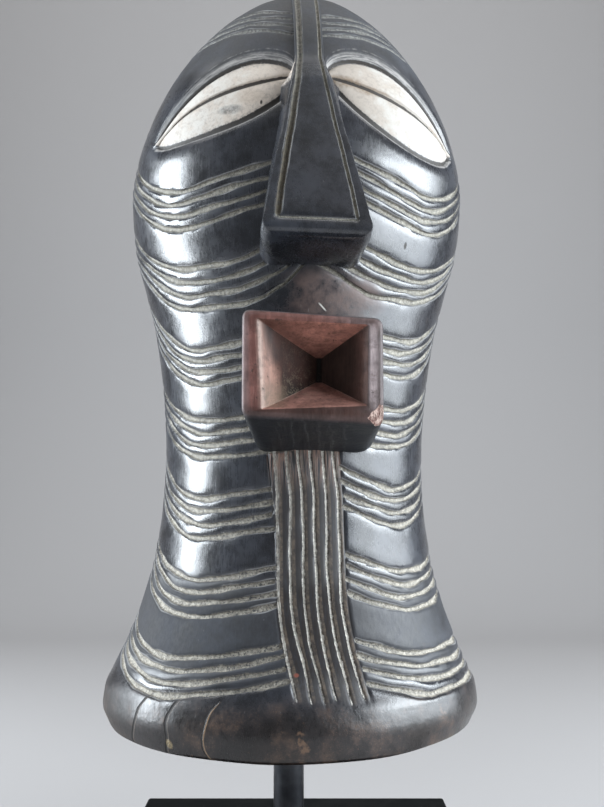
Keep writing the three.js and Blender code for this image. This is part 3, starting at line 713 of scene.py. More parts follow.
def cavity_rings(wall, tool_marks):
    """The hollow inside, which follows the outside at the wall's thickness and keeps the tool's facets."""
    heights = np.concatenate([[-4, 0, 3], np.linspace(8, 323, 58), [327, CAVITY_TOP]])
    angles = np.arange(0, 360, 4.0)
    rings = []
    for h in heights:
        half, front, x, y = section(max(0, h))
        inset = min(2.2, 1 / math.cos(float(lean_back(max(30.0, h))))) * wall
        sin, cos = np.sin(np.radians(angles)), np.cos(np.radians(angles))
        row = np.floor(h / FACET_HEIGHT) * 1.7
        facet = np.abs(((angles + 11 * np.sin(row)) / FACET_ANGLE) % 1 - 0.5)
        facet = facet * np.abs((h / FACET_HEIGHT) % 1 - 0.5)
        facet = tool_marks * (3.2 * facet) * smooth(4, 16, h) * (1 - smooth(300, 318, h))
        depth = np.where(cos >= 0, front, half) - inset + facet
        level = np.full(len(angles), float(h))
        rings.append(np.stack([x + (half - inset + facet) * sin, y - depth * cos, level], -1))
    return np.array(rings)


def worn_block(size, centre, turn, steps, waver):
    """A block with uneven faces, for a cut or a break."""
    n = steps
    grid = np.linspace(-0.5, 0.5, n + 1)
    points, index, faces = [], {}, []

    def at(i, j, k):
        key = (i, j, k)
        if key not in index:
            index[key] = len(points)
            p = np.array([grid[i] * size[0], grid[j] * size[1], grid[k] * size[2]])
            bumps = ((2.3, 4.1, 1.7), (3.1, 1.3, 5.1), (1.1, 2.9, 3.3))
            points.append(p + waver * np.array([math.sin(a * i + b * j + c * k) for a, b, c in bumps]))
        return index[key]

    for i in range(n):
        for j in range(n):
            along = [(i, j), (i, j + 1), (i + 1, j + 1), (i + 1, j)]
            for axis in (2, 1, 0):
                for end in (0, n):
                    corners = along if (end == n) == (axis == 1) else [along[k] for k in (0, 3, 2, 1)]
                    faces.append([at(*c[:axis], end, *c[axis:]) for c in corners])
    rotation = np.array(Euler(turn).to_matrix())
    return np.array(points) @ rotation.T + np.array(centre), faces


def rgb(colour):
    return np.array(colour[:3])


def plain_marks(cut, paint, place, tint):
    """Marks of the nose or the mouth, which have no beard, no slit and no cracks."""
    blank = np.zeros(len(cut))
    return {
        "cuts": np.stack([cut, blank + NO_CUT, blank], -1),
        "eyes": np.stack([paint, blank + NO_CUT, blank], -1),
        "place": np.stack(place, -1),
        "cracks": np.full((len(cut), 3), NO_CRACK),
        "tint": tint,
    }


def outside_tint(place, colours):
    """The pigment's colour over the outside: greyer on the forehead, creamier down the beard."""
    height = place[:, 1:2]
    brow = smooth(292, 306, height)
    low = 1 - smooth(60, 190, height)
    pale, cream = rgb(colours.pigment), rgb(colours.pigment_cream)
    return mix(mix(pale * 0.86, cream, low), rgb(colours.pigment_dusty), brow)


def nose_marks(marks, colours):
    """Pigment in the nose's lines, and white paint that ran onto its left flank beside the eye."""
    flat = marks.reshape(-1, 4)
    off_line, x, out, height = flat.T
    left = (x < 0)[:, None]
    low = (1 - smooth(245, 285, height))[:, None]
    pale = rgb(colours.pigment)
    tint = np.where(left, mix(pale * 0.62, rgb(colours.pigment_earth), low), pale * 0.8)
    foot = smooth(212.5, 211.2, height)[:, None]
    tint = mix(tint, pale * 0.8, foot)
    paint = np.where((x < -1) & (out < 0.97), 1.0 - 0.15 * np.abs(height - 282), -NO_CUT)
    place = [12 * x, height, np.ones(len(flat))]
    return plain_marks(off_line * mix(1, 2.1, foot[:, 0]), paint, place, tint)


class MouthTint:
    """Bare reddish wood on the front and the facets, black where the hand doesn't rub, with painted shade in
    the hollow and painted glints on the block's edges.
    """

    # The four sides are numbered 0 low, 1 right, 2 top and 3 left
    # How far each side's rim on the front and its rounded outer edge take the grey of wear and of a painted
    # glint, most on the left
    WORN_RIM_AND_GLINT = (0.1, 0.0, 0.06, 0.4)
    GREY_EDGE_AND_GLINT = (0.1, 0.35, 0.2, 0.75)

    def __init__(self, colours):
        shade = lambda name: rgb(getattr(colours, name))
        sides = ("low", "right", "top", "left")
        self.black = shade("wood") * 0.4
        self.worn, self.ridge, self.pocket_shade = (shade(n) for n in ("lip_edge_and_glint", "facet_ridge", "pocket_shade"))
        self.frame = [shade("lip_" + n) for n in sides]
        self.facet = [shade("facet_" + n) for n in sides]

    def on_frame(self, k, zone, x, z):
        """The front's colour on side k; 1 is its outer edge and 2 the edge of the hollow. The grey stripe on
        the right side and the grey along the top towards the right are partly wear and partly a painted
        highlight.
        """
        colour = mix(self.frame[k], self.worn, self.WORN_RIM_AND_GLINT[k] * float(smooth(1.3, 1.0, zone)))
        if k == 1:
            glint_streak = float(smooth(1.05, 1.4, zone) * smooth(1.98, 1.7, zone) * smooth(134, 143, z))
            colour = mix(colour, self.worn * 1.25, glint_streak)
        if k == 2:
            colour = mix(colour, self.frame[1] * 1.6, 0.8 * float(smooth(0, 22, x)))
        if k == 3:
            colour = mix(colour, self.ridge, 0.3 * float(smooth(1.7, 1.95, zone)))
        return colour

    def outside(self, k, other, share, zone, x, z):
        """The front and the block's sides, where side k runs into the next one."""
        near = max(zone, 1)
        colour = mix(self.on_frame(k, near, x, z), self.on_frame(other, near, x, z), share)
        if zone < 1:
            # The block's rounded outer edge takes the grey of wear and a painted glint
            grey = mix(self.GREY_EDGE_AND_GLINT[k], self.GREY_EDGE_AND_GLINT[other], share)
            edge = mix(self.black, self.worn, grey * float(smooth(0.95, 0.975, zone)))
            colour = mix(edge, colour, float(smooth(0.978, 0.995, zone)))
        return colour

    def hollow(self, k, to_end, t, x, z):
        """Facet k of the hollow, from its edge at 0 to the floor at 1, darkened by painted shade towards the
        floor; the top facet is also darker towards its left.
        """
        # Painted shade: each facet darkens towards the floor's dark, the right facet soon after its edge, and
        # the left facet nearer its edge higher up, under the top facet's overhang
        start = mix(0.27, 0.0, float(smooth(140, 170, z)))
        deep = ((0.8, 0.97, 0.3), (0.03, 0.4, 0.8), (0.6, 0.98, 0.4), (start, start + 0.16, 0.98))[k]
        base, dark = self.facet[k], self.pocket_shade
        if k == 2:
            base = base * mix(0.4, 1.1, float(smooth(-15, 3, x)))
        if k == 3:
            dark = mix(dark * 0.6, self.facet[2] * 0.1, float(smooth(143, 152, z)))
        colour = mix(base, dark, deep[2] * float(smooth(*deep[:2], t)))
        if k == 0 and 0.03 < t < 0.97:
            colour = mix(colour, self.ridge, 0.7 * math.exp(-((to_end / 1.4) ** 2)))
        if k == 3 and t < 0.06:
            colour = mix(colour, self.ridge, 0.6)
        # The floor of the hollow is painted near black, as shade
        return self.pocket_shade * 0.2 if t > 0.98 else colour


def mouth_marks(marks, colours):
    """The mouth block's colours; place holds the way across, the height and the zone."""
    rings, count = marks.shape[:2]
    per_side = count // 4
    place = (np.arange(count) - 3) % per_side
    side = ((np.arange(count) - 3) // per_side) % 4
    shades = MouthTint(colours)
    tint = np.zeros((rings, count, 3))
    for r in range(rings):
        zone = marks[r, 0, 0]
        for i in range(count):
            k, x, z = side[i], marks[r, i, 1], marks[r, i, 2]
            to_end = min(place[i], per_side - 1 - place[i])
            if zone < 2:
                other = (k + (1 if place[i] > per_side / 2 else -1)) % 4
                share = 0.5 * max(0.0, 1 - to_end / 3.5)
                tint[r, i] = shades.outside(k, other, share, zone, x, z)
            else:
                tint[r, i] = shades.hollow(k, to_end, zone - 2, x, z)
    flat = marks.reshape(-1, 3)
    far = np.full(len(flat), NO_CUT)
    marks = plain_marks(far, -far, [flat[:, 1], flat[:, 2], flat[:, 0]], tint.reshape(-1, 3))
    return {k: with_caps(v) for k, v in marks.items()}


def read_all(items, name, kind=int, size=1):
    """One property of every item of a mesh."""
    values = np.empty(len(items) * size, kind)
    items.foreach_get(name, values)
    return values


def nearest(points, places):
    """The three points nearest to each place, and each one's share by distance."""
    tree = kdtree.KDTree(len(points))
    for i, p in enumerate(points.tolist()):
        tree.insert(p, i)
    tree.balance()
    near = np.zeros((len(places), 3), int)
    share = np.zeros((len(places), 3))
    for w, place in enumerate(places.tolist()):
        found = tree.find_n(place, 3)
        near[w] = [f[1] for f in found]
        share[w] = [1 / (f[2] + 1e-7) ** 2 for f in found]
    return near, share / share.sum(1, keepdims=True)


def carry_marks(mesh, parts):
    """Puts each part's marks on the cut mesh: corners take them from the part's own nearest points."""
    corner_vertex = read_all(mesh.loops, "vertex_index")
    coords = read_all(mesh.vertices, "co", float, 3).reshape(-1, 3)
    corner_counts = read_all(mesh.polygons, "loop_total")
    corner_slot = np.repeat(read_all(mesh.polygons, "material_index"), corner_counts)
    values = {}
    for slot, (points, marks) in parts.items():
        mine = np.flatnonzero(corner_slot == slot)
        wanted, back = np.unique(corner_vertex[mine], return_inverse=True)
        near, share = nearest(points, coords[wanted])
        for name, data in marks.items():
            at = values.setdefault(name, np.zeros((len(mesh.loops), 3)))
            at[mine] = np.einsum("ij,ijk->ik", share, data[near])[back]
    for name, data in values.items():
        kind, slot = ("FLOAT_COLOR", "color") if name == "tint" else ("FLOAT_VECTOR", "vector")
        if name == "tint":
            data = np.hstack([data, np.ones((len(data), 1))])
        layer = mesh.attributes.new(name, kind, "CORNER")
        layer.data.foreach_set(slot, data.astype(np.float32).ravel())


# Shader nodes: a Value stands for what a node puts out, and plain arithmetic on it adds nodes


def worked_out(operation, swapped=False):
    """The method of Value that adds a Math node with this operation."""
    return lambda self, other: calc(operation, other, self) if swapped else calc(operation, self, other)


class Value:
    """A number, colour or vector that a node puts out."""

    def __init__(self, socket):
        self.socket = socket
        self.tree = socket.id_data

    __add__, __radd__ = worked_out("ADD"), worked_out("ADD", True)
    __sub__, __rsub__ = worked_out("SUBTRACT"), worked_out("SUBTRACT", True)
    __mul__, __rmul__ = worked_out("MULTIPLY"), worked_out("MULTIPLY", True)
    __truediv__ = worked_out("DIVIDE")

    def __abs__(self):
        return calc("ABSOLUTE", self)


def feed(socket, value):
    """Links a value to a socket, or sets the socket to a plain number or colour."""
    if isinstance(value, Value):
        value.tree.links.new(value.socket, socket)
    else:
        socket.default_value = value


def node(tree, kind, inputs=None, **settings):
    """A shader node with its settings and what its inputs are fed."""
    made = tree.nodes.new("ShaderNode" + kind)
    for name, value in settings.items():
        setattr(made, name, value)
    for socket, value in (inputs or {}).items():
        feed(made.inputs[socket], value)
    return made


def outputs(made):
    return {socket.name: Value(socket) for socket in made.outputs}


def tree_of(*values):
    return next(value.tree for value in values if isinstance(value, Value))


def calc(operation, *values):
    return Value(node(tree_of(*values), "Math", dict(enumerate(values)), operation=operation).outputs[0])


def most(first, *others):
    """The greatest of the values."""
    for other in others:
        first = calc("MAXIMUM", first, other)
    return first


def ramp(x, start, end, low=0.0, high=1.0):
    """A smooth step from low to high as x goes from start to end."""
    inputs = {"Value": x, "From Min": start, "From Max": end, "To Min": low, "To Max": high}
    return Value(node(x.tree, "MapRange", inputs, interpolation_type="SMOOTHSTEP").outputs["Result"])


def blend(factor, a, b, kind="MIX"):
    """Colour a where the factor is 0, b where it is 1."""
    made = node(tree_of(factor, a, b), "Mix", {0: factor, 6: a, 7: b}, data_type="RGBA", blend_type=kind)
    return Value(made.outputs[2])


def noise(place, scale, detail=3.0, rough=0.5):
    inputs = {"Vector": place, "Scale": scale, "Detail": detail, "Roughness": rough}
    return Value(node(place.tree, "TexNoise", inputs).outputs[0])


def grey(shade):
    return Value(node(shade.tree, "CombineColor", {0: shade, 1: shade, 2: shade}).outputs[0])


def vector(tree, **parts):
    return Value(node(tree, "CombineXYZ", parts).outputs[0])


def own_space(tree):
    """Places on the piece, in its own metres."""
    return Value(node(tree, "TexCoord").outputs["Object"])


def mark(tree, name, part="Vector"):
    return Value(node(tree, "Attribute", attribute_name=name).outputs[part])


def split_mark(tree, name):
    return outputs(node(tree, "SeparateXYZ", {0: mark(tree, name)}))


def spot(place, name):
    """The soft patch where one of the single marks lies."""
    middle, size = SPOTS[name]
    across = (place["X"] - float(middle[0])) / float(size[0])
    up = (place["Y"] - float(middle[1])) / float(size[1])
    return ramp(across * across + up * up, 1.2, 0.1)


def group(name, inputs, outs):
    """A node group of plain numbers with named sockets: its tree, what it is given and what it puts out."""
    tree = bpy.data.node_groups.new(name, "ShaderNodeTree")
    for label, default in inputs.items():
        socket = tree.interface.new_socket(label, in_out="INPUT", socket_type="NodeSocketFloat")
        socket.default_value = default
    for label in outs:
        tree.interface.new_socket(label, in_out="OUTPUT", socket_type="NodeSocketFloat")
    return tree, outputs(tree.nodes.new("NodeGroupInput")), tree.nodes.new("NodeGroupOutput").inputs


def use(tree, shared, **values):
    """Places a shared group in a tree; underscores stand for spaces in socket names."""
    made = node(tree, "Group", node_tree=shared)
    for name, value in values.items():
        feed(made.inputs[name.replace("_", " ")], value)
    return outputs(made)


def grain_group():
    """Long streaks along Z, broad blotches and a fine tooth, in the object's own space."""
    defaults = {"Streak Scale": 900.0, "Stretch": 0.05, "Blotch Scale": 22.0}
    tree, given, out = group("Rubbed Grain", defaults, ("Streaks", "Blotches", "Tooth"))
    place = own_space(tree)
    squeeze = vector(tree, X=1.0, Y=1.0, Z=given["Stretch"])
    long = Value(node(tree, "VectorMath", {0: place, 1: squeeze}, operation="MULTIPLY").outputs[0])
    feed(out["Streaks"], ramp(noise(long, given["Streak Scale"], 4.0, 0.6), 0.3, 0.7))
    feed(out["Blotches"], ramp(noise(place, given["Blotch Scale"], 4.0, 0.6), 0.35, 0.68))
    feed(out["Tooth"], noise(place, 2600.0, 2.0, 0.6))
    return tree


def pigment_group():
    """Powdery pigment lying in a cut: ragged at its edges, speckled, with grains that stand up."""
    defaults = {"Distance": 9.0, "Half Width": 1.1, "Ragged": 0.5, "Specks": 0.5}
    tree, given, out = group("Pigment In Cuts", defaults, ("Mask", "Shade", "Height"))
    place = own_space(tree)
    fine = noise(place, 1500.0, 2.0, 0.7)
    shift = (noise(place, 420.0, 3.0, 0.6) + fine - 1.0) * given["Ragged"]
    cover = ramp(given["Half Width"] - (given["Distance"] + shift), -0.12, 0.22)
    pits = 1.0 - (1.0 - ramp(noise(place, 1150.0, 3.0, 0.75), 0.6, 0.52)) * given["Specks"]
    tone = ramp(noise(place, 700.0, 3.0, 0.7), 0.3, 0.72)
    feed(out["Mask"], cover * pits)
    feed(out["Shade"], tone)
    feed(out["Height"], cover * (tone + fine))
    return tree


def wear_group():
    """Small rubs and knocks that break through a dark finish."""
    tree, given, out = group("Rubs And Knocks", {"Scale": 60.0, "Amount": 0.3}, ("Mask", "Scratches"))
    place = own_space(tree)
    limit = 0.78 - given["Amount"] * 0.25
    feed(out["Mask"], ramp(noise(place, given["Scale"], 5.0, 0.65) - limit, 0.0, 0.06))
    turned = {"Vector": place, "Rotation": (0.3, 0.5, 0.2), "Scale": (1, 1, 0.03)}
    lines = noise(Value(node(tree, "Mapping", turned).outputs[0]), 1400.0, 1.0, 0.5)
    feed(out["Scratches"], ramp(lines, 0.74, 0.8))
    return tree


def material(name, metallic=0.0, specular=0.5, coat=0.0):
    """A new material with its uniform values set, its tree and its Principled BSDF."""
    made = bpy.data.materials.new(name)
    made.use_nodes = True
    shader = made.node_tree.nodes["Principled BSDF"]
    shader.inputs["Metallic"].default_value = metallic
    shader.inputs["Specular IOR Level"].default_value = specular
    shader.inputs["Coat Weight"].default_value = coat
    return made, made.node_tree, shader


def finish_material(shader, colour, rough, height, strength, distance=0.0004):
    """Feeds the Principled BSDF its colour, its roughness and a bump from the height."""
    feed(shader.inputs["Base Color"], colour)
    feed(shader.inputs["Roughness"], rough)
    bump = {"Height": height, "Strength": strength, "Distance": distance}
    feed(shader.inputs["Normal"], Value(node(height.tree, "Bump", bump).outputs[0]))


# Materials

# Where single marks lie: angle and height of the middle, and how far each reaches. The dent in the mouth's
# bottom facet is placed in millimetres across and up.
SPOTS = {
    "film beside the nose": ((9, 187), (23, 13)),
    "patch on the left eye": ((-20.5, 272), (7, 4)),
    "smudge on the left eye": ((-26.5, 266.9), (5, 2.4)),
    "dot on the left eye": ((-16, 269), (0.5, 1.1)),
    "stain on the right eye": ((12, 279.5), (9, 3.4)),
    "end of the stain": ((23, 276.5), (8, 2.6)),
    "filler in the crack": ((-39, 5.4), (1.3, 2.2)),
    "red spot": ((-2, 33.4), (0.9, 0.9)),
    "nick in the cheek": ((34.6, 210.2), (0.7, 1.9)),
    "scratch over the mouth": ((5.5, 181.9), (2.2, 2.4)),
    "dent in the mouth": ((-4.5, 136.5), (3.2, 2.4)),
}

# The scratch runs where the first number times the angle, plus the height, makes the second
SCRATCH_LINE = (1.16, 188.25)

# Each hair crack's attribute part, half width, height where it ends and how light its edge is
CRACK_LOOKS = (("X", 1.0, 25.0, 0.3), ("Y", 1.0, 25.0, 0.2), ("Z", 0.5, 24.0, 1.0))


def bare_wood(tree, place, grain, wear, colours):
    """Blackened wood: bluish on the face, warm and rubbed brown towards the rim, mottled all over."""
    rim = ramp(place["Y"], 30.0, 14.0)
    warm = grain["Blotches"] * 0.3 + rim * 0.7
    colour = blend(warm, colours.wood, colours.wood_warm)
    mottle = noise(own_space(tree), 75.0, 7.0, 0.72)
    shade = ramp(mottle, 0.3, 0.7, 0.35, 1.45) + grain["Tooth"] * 0.3
    colour = blend(1.0, colour, grey(shade), "MULTIPLY")
    film = spot(place, "film beside the nose") * 0.9 * ramp(mottle, 0.36, 0.62)
    colour = blend(film, colour, colours.film)
    hair = wear["Scratches"] * ramp(mottle, 0.45, 0.6) * 0.35
    colour = blend(hair, colour, colours.dust)
    low = ramp(place["Y"], 24.0, 6.0, 0.05, 0.85)
    colour = blend(wear["Mask"] * low, colour, colours.wear)
    bits = ramp(grain["Tooth"], 0.6, 0.7) * ramp(mottle, 0.42, 0.6) * rim
    bits = bits * 0.7 + ramp(mottle, 0.5, 0.72) * rim * 0.4
    colour = blend(calc("MINIMUM", bits, 1.0), colour, colours.wear)
    return colour, warm, most(film, hair), mottle


def beard_wood(colour, place, cuts, grain, colours):
    """Brown ribs, and reddish fibres where the beard starts under the mouth."""
    rib = cuts["Z"] * (0.35 + grain["Streaks"] * 0.6)
    colour = blend(rib, colour, colours.beard)
    fibre = ramp(place["Y"], 104.0, 124.0) * ramp(grain["Streaks"], 0.3, 0.75) * cuts["Z"]
    return blend(fibre * 0.9, colour, colours.fibre), fibre


def groove_pigment(shared, tree, colour, place, cuts, grain, colours):
    """Pale pigment in the zig-zag cuts, thinner beside the beard and darkened towards the cut's walls as
    painted shade, and the grey of wear along their edges.
    """
    near_beard = ramp(abs(place["X"]), 40.0, 18.0) * 0.3 * ramp(place["Y"], 128.0, 112.0)
    specks = 0.6 + near_beard
    groove = use(tree, shared["pigment"], Distance=cuts["X"], Half_Width=1.1, Ragged=0.95, Specks=specks)
    tint = mark(tree, "tint", "Color")
    ink = blend(groove["Shade"] - near_beard, blend(0.62, tint, colours.slit), tint)
    # Painted shade: the pigment darkens towards the cut's walls
    ink = blend(ramp(cuts["X"], 0.6, 1.1, 0.0, 0.55), ink, colours.slit)
    worn_edge = ramp(cuts["X"], 0.95, 1.15) * ramp(cuts["X"], 1.6, 1.3)
    worn_edge = worn_edge * ramp(grain["Blotches"], 0.25, 0.75, 0.1, 0.75)
    colour = blend(worn_edge, colour, colours.dust)
    return blend(groove["Mask"], colour, ink), groove


def beard_pigment(shared, tree, colour, place, cuts, colours):
    """A bright thread in each upright cut, and dirt on the rib beside it."""
    side = calc("FRACT", place["Z"]) - 0.5
    crumbs = ramp(noise(own_space(tree), 330.0, 7.0, 0.85), 0.4, 0.62, 0.15, 1.0)
    crumbs = crumbs * ramp(side, 0.02, 0.12) * cuts["Z"] * ramp(side, 0.44, 0.34)
    colour = blend(crumbs * 0.75, colour, colours.beard_dirt)
    width = ramp(place["Y"], 22.0, 40.0, 0.2, 0.5)
    thread = use(tree, shared["pigment"], Distance=cuts["Y"], Half_Width=width, Ragged=0.8, Specks=0.4)
    cover = thread["Mask"] * ramp(cuts["Z"], 0.02, 0.3)
    ink = blend(ramp(thread["Shade"], -0.3, 0.4), colours.dust_warm, colours.pigment_thread)
    return blend(cover, colour, ink), cover, thread["Height"]


def eye_paint(tree, place, eyes, grain, colours):
    """White paint, dirty and warm towards the nose, with the dark line between the lids; as painted light,
    the left eye's paint is lighter than the right eye's, most towards the nose, where the nose shades it.
    """
    inner = ramp(abs(place["X"]), 38.0, 9.0)
    spread = own_space(tree)
    mottle = noise(spread, 150.0, 6.0, 0.7)
    fine = noise(spread, 620.0, 4.0, 0.75)
    dirt = ramp(mottle + inner * 0.26, 0.42, 0.70)
    # Painted light: the left eye, and most of all its part near the nose, takes a lighter paint
    painted_light_left = (0.4 + inner * 0.6) * ramp(place["X"], 5.0, -5.0)
    white = blend(painted_light_left, colours.eye_white, colours.eye_white_left_painted_light)
    beige = blend(painted_light_left, colours.eye_beige, colours.eye_beige_left_painted_light)
    paint = blend(dirt * 0.8, white, beige)
    patches = ramp(fine, 0.44, 0.66) * ramp(mottle, 0.40, 0.6)
    paint = blend(patches * 0.55, paint, colours.eye_grey)
    paint = blend(ramp(grain["Tooth"], 0.6, 0.7) * 0.5, paint, colours.eye_grey)
    patch = spot(place, "patch on the left eye") * ramp(fine, 0.3, 0.6, 0.4, 1.0)
    paint = blend(patch * 0.55, paint, colours.eye_patch)
    border = ramp(eyes["X"], 1.5, 0.1) * ramp(fine, 0.4, 0.62) * 0.75
    paint = blend(border, paint, colours.eye_grey)
    smudge = spot(place, "smudge on the left eye") * ramp(fine, 0.3, 0.62, 0.3, 1.0)
    paint = blend(smudge * 0.85, paint, colours.smudge)
    paint = blend(spot(place, "dot on the left eye"), paint, colours.slit)
    stained = spot(place, "stain on the right eye") + spot(place, "end of the stain")
    stained = stained * ramp(fine, 0.32, 0.6, 0.3, 1.0)
    paint = blend(stained * 0.75, paint, colours.stain)
    ragged = eyes["Y"] + (fine - 0.5) * 0.9
    paint = blend(ramp(ragged, 1.3, 0.1) * 0.4, paint, colours.stain)
    return blend(ramp(ragged, 0.15, -0.15), paint, colours.slit)


def eye_rims(tree, place, eyes, colours, colour):
    """The dark channel below each eye and a painted shadow line above it, the dusty strokes beyond, and a
    light line below that is partly an edge rubbed pale and partly a painted highlight.
    """
    squeezed = vector(tree, X=place["X"] * 0.11, Y=eyes["X"] * 1.3, Z=eyes["Z"])
    strokes = noise(squeezed, 1.0, 5.0, 0.7)
    broken = noise(vector(tree, X=place["X"] * 0.3), 1.0, 3.0, 0.6)
    fine = noise(own_space(tree), 620.0, 4.0, 0.75)
    away = eyes["X"] * -1.0 + (fine - 0.5) * 1.3
    above = ramp(eyes["Z"], 0.1, 0.6)
    below = ramp(eyes["Z"], -0.1, -0.6)
    past = away - ramp(abs(place["X"]), 52.0, 10.0, 1.6, 3.2)
    started = ramp(away, -0.2, 0.3)
    # Below the eye the dark is the bare channel; above it, a painted shadow line under the upper rim
    dark = most(ramp(past, 0.3, -0.2) * below, ramp(away, 1.5, 0.9) * above) * started
    colour = blend(dark * ramp(fine, 0.62, 0.5, 0.7, 1.0), colour, colours.lid_dark)
    fade = ramp(abs(place["X"]), 30.0, 60.0, 1.0, 0.55)
    band = ramp(away, 1.1, 1.7) * ramp(away, 5.4, 3.0) * above * fade
    band = band * ramp(strokes, 0.36, 0.62, 0.1, 1.0)
    outer = ramp(away, 5.6, 6.0) * ramp(away, 6.8, 6.3) * above * ramp(broken, 0.42, 0.6)
    # The light line below the channel: partly an edge rubbed pale, partly a painted highlight
    lip = ramp(past, -0.1, 0.35) * ramp(past, 1.9, 0.9) * below
    lip = lip * ramp(broken, 0.3, 0.55, 0.3, 0.7)
    dust = most(band, lip, outer * 0.3)
    return blend(dust, colour, colours.lid_dust_and_highlight), most(dust, dark)


def hair_cracks(tree, place, grain):
    """Three cracks up from the rim, dark with a light edge."""
    cracks = split_mark(tree, "cracks")
    waver = (grain["Tooth"] - 0.5) * 0.55
    dark, light = [], []
    for axis, width, top, pale in CRACK_LOOKS:
        wavy = cracks[axis] + waver
        fade = ramp(place["Y"], top, top - 4)
        dark.append(ramp(abs(wavy), width, width * 0.3) * fade)
        light.append(ramp(abs(wavy - 0.75), 0.42, 0.1) * fade * pale)
    return most(*dark), most(*light)


def single_marks(tree, place, grain, colours, colour):
    """The rim's cracks and filler, the red spot, a nick in the cheek and the scratch over the mouth."""
    crack, crack_edge = hair_cracks(tree, place, grain)
    colour = blend(crack_edge * 0.95, colour, colours.crack_edge)
    colour = blend(crack, colour, colours.crack)
    filler = spot(place, "filler in the crack") * ramp(grain["Tooth"], 0.38, 0.5)
    colour = blend(filler * 0.85, colour, colours.filler)
    colour = blend(spot(place, "red spot"), colour, colours.red_spot)
    nick = spot(place, "nick in the cheek") * 0.95
    colour = blend(nick, colour, colours.lid_dark)
    slope, level = SCRATCH_LINE
    scratch = ramp(abs(place["X"] * slope + place["Y"] - level), 0.55, 0.25)
    scratch = scratch * spot(place, "scratch over the mouth")
    return blend(scratch * 0.9, colour, colours.pigment_thread), crack, nick


def wood_shine(tree, place, cuts, grain, warm, film, mottle, dust, powder):
    """How rough the wood is, and how much coat it keeps: least where it is dull, dusty or filmed."""
    flare = ramp(place["Y"], 74.0, 62.0) * ramp(place["Y"], 26.0, 38.0)
    flare = flare * ramp(place["X"], -10.0, 30.0, 1.0, 0.55)
    rim = ramp(place["Y"], 26.0, 18.0) * ramp(place["X"], -46.0, -58.0, 0.12, 0.55)
    dull = most(flare, ramp(place["Y"], 282.0, 300.0) * 0.7, rim)
    rough = 0.24 + grain["Streaks"] * 0.09 + warm * -0.03
    rough = rough + dust * 0.4 + dull * 0.5 + film * 0.25 + ramp(mottle, 0.3, 0.7, -0.05, 0.05)
    rough = rough + cuts["Z"] * 0.3
    rough = Value(node(tree, "Mix", {0: powder, 2: rough, 3: 0.7}).outputs[0])
    bare_rim = ramp(place["Y"], 28.0, 20.0) * ramp(place["X"], 30.0, -10.0)
    hidden = most(most(powder, dull), most(dust, cuts["Z"]))
    clear = ramp(most(hidden, bare_rim * 0.7), 0.7, 0.0) * ramp(film, 0.5, 0.0)
    return rough, clear * ramp(mottle, 0.3, 0.6, 0.15, 0.42)


def wood_relief(tree, place, grain):
    """The grain and the unevenness left by the tool, stronger on the rim."""
    uneven = noise(own_space(tree), 190.0, 3.0, 0.55)
    height = grain["Streaks"] * 0.035 + grain["Tooth"] * 0.15
    return height + uneven * ramp(place["Y"], 30.0, 16.0, 0.5, 1.3)


def wood_material(shared, colours):
    """Blackened wood with a rubbed shine, pigment in its cuts, white eyes and hair cracks."""
    made, tree, shader = material("Blackened wood", specular=0.75, coat=0.2)
    shader.inputs["Coat Roughness"].default_value = 0.24
    grain = use(tree, shared["grain"], Streak_Scale=1500.0, Stretch=0.04)
    cuts, eyes, place = (split_mark(tree, n) for n in ("cuts", "eyes", "place"))
    wear = use(tree, shared["wear"], Scale=110.0, Amount=0.55)
    colour, warm, film, mottle = bare_wood(tree, place, grain, wear, colours)
    colour, fibre = beard_wood(colour, place, cuts, grain, colours)
    colour, groove = groove_pigment(shared, tree, colour, place, cuts, grain, colours)
    colour, thread, thread_height = beard_pigment(shared, tree, colour, place, cuts, colours)

    colour, dust = eye_rims(tree, place, eyes, colours, colour)
    ragged = grain["Tooth"] + mottle - 1.0
    white = ramp(eyes["X"] + ragged * 1.5, -0.1, 0.25)
    colour = blend(white, colour, eye_paint(tree, place, eyes, grain, colours))

    colour, crack, nick = single_marks(tree, place, grain, colours, colour)

    powder = most(most(groove["Mask"], thread, white), most(nick, crack))
    rough, clear = wood_shine(tree, place, cuts, grain, warm, film, mottle, dust, powder)
    feed(shader.inputs["Coat Weight"], clear)
    height = wood_relief(tree, place, grain)
    height = height + groove["Height"] * 0.9 + thread_height * 0.6
    height = height - most(crack, nick * 0.3) * 1.8
    height = height + fibre * 0.8 + grain["Blotches"] * 0.25
    finish_material(shader, colour, rough, height, 0.55)
    return made


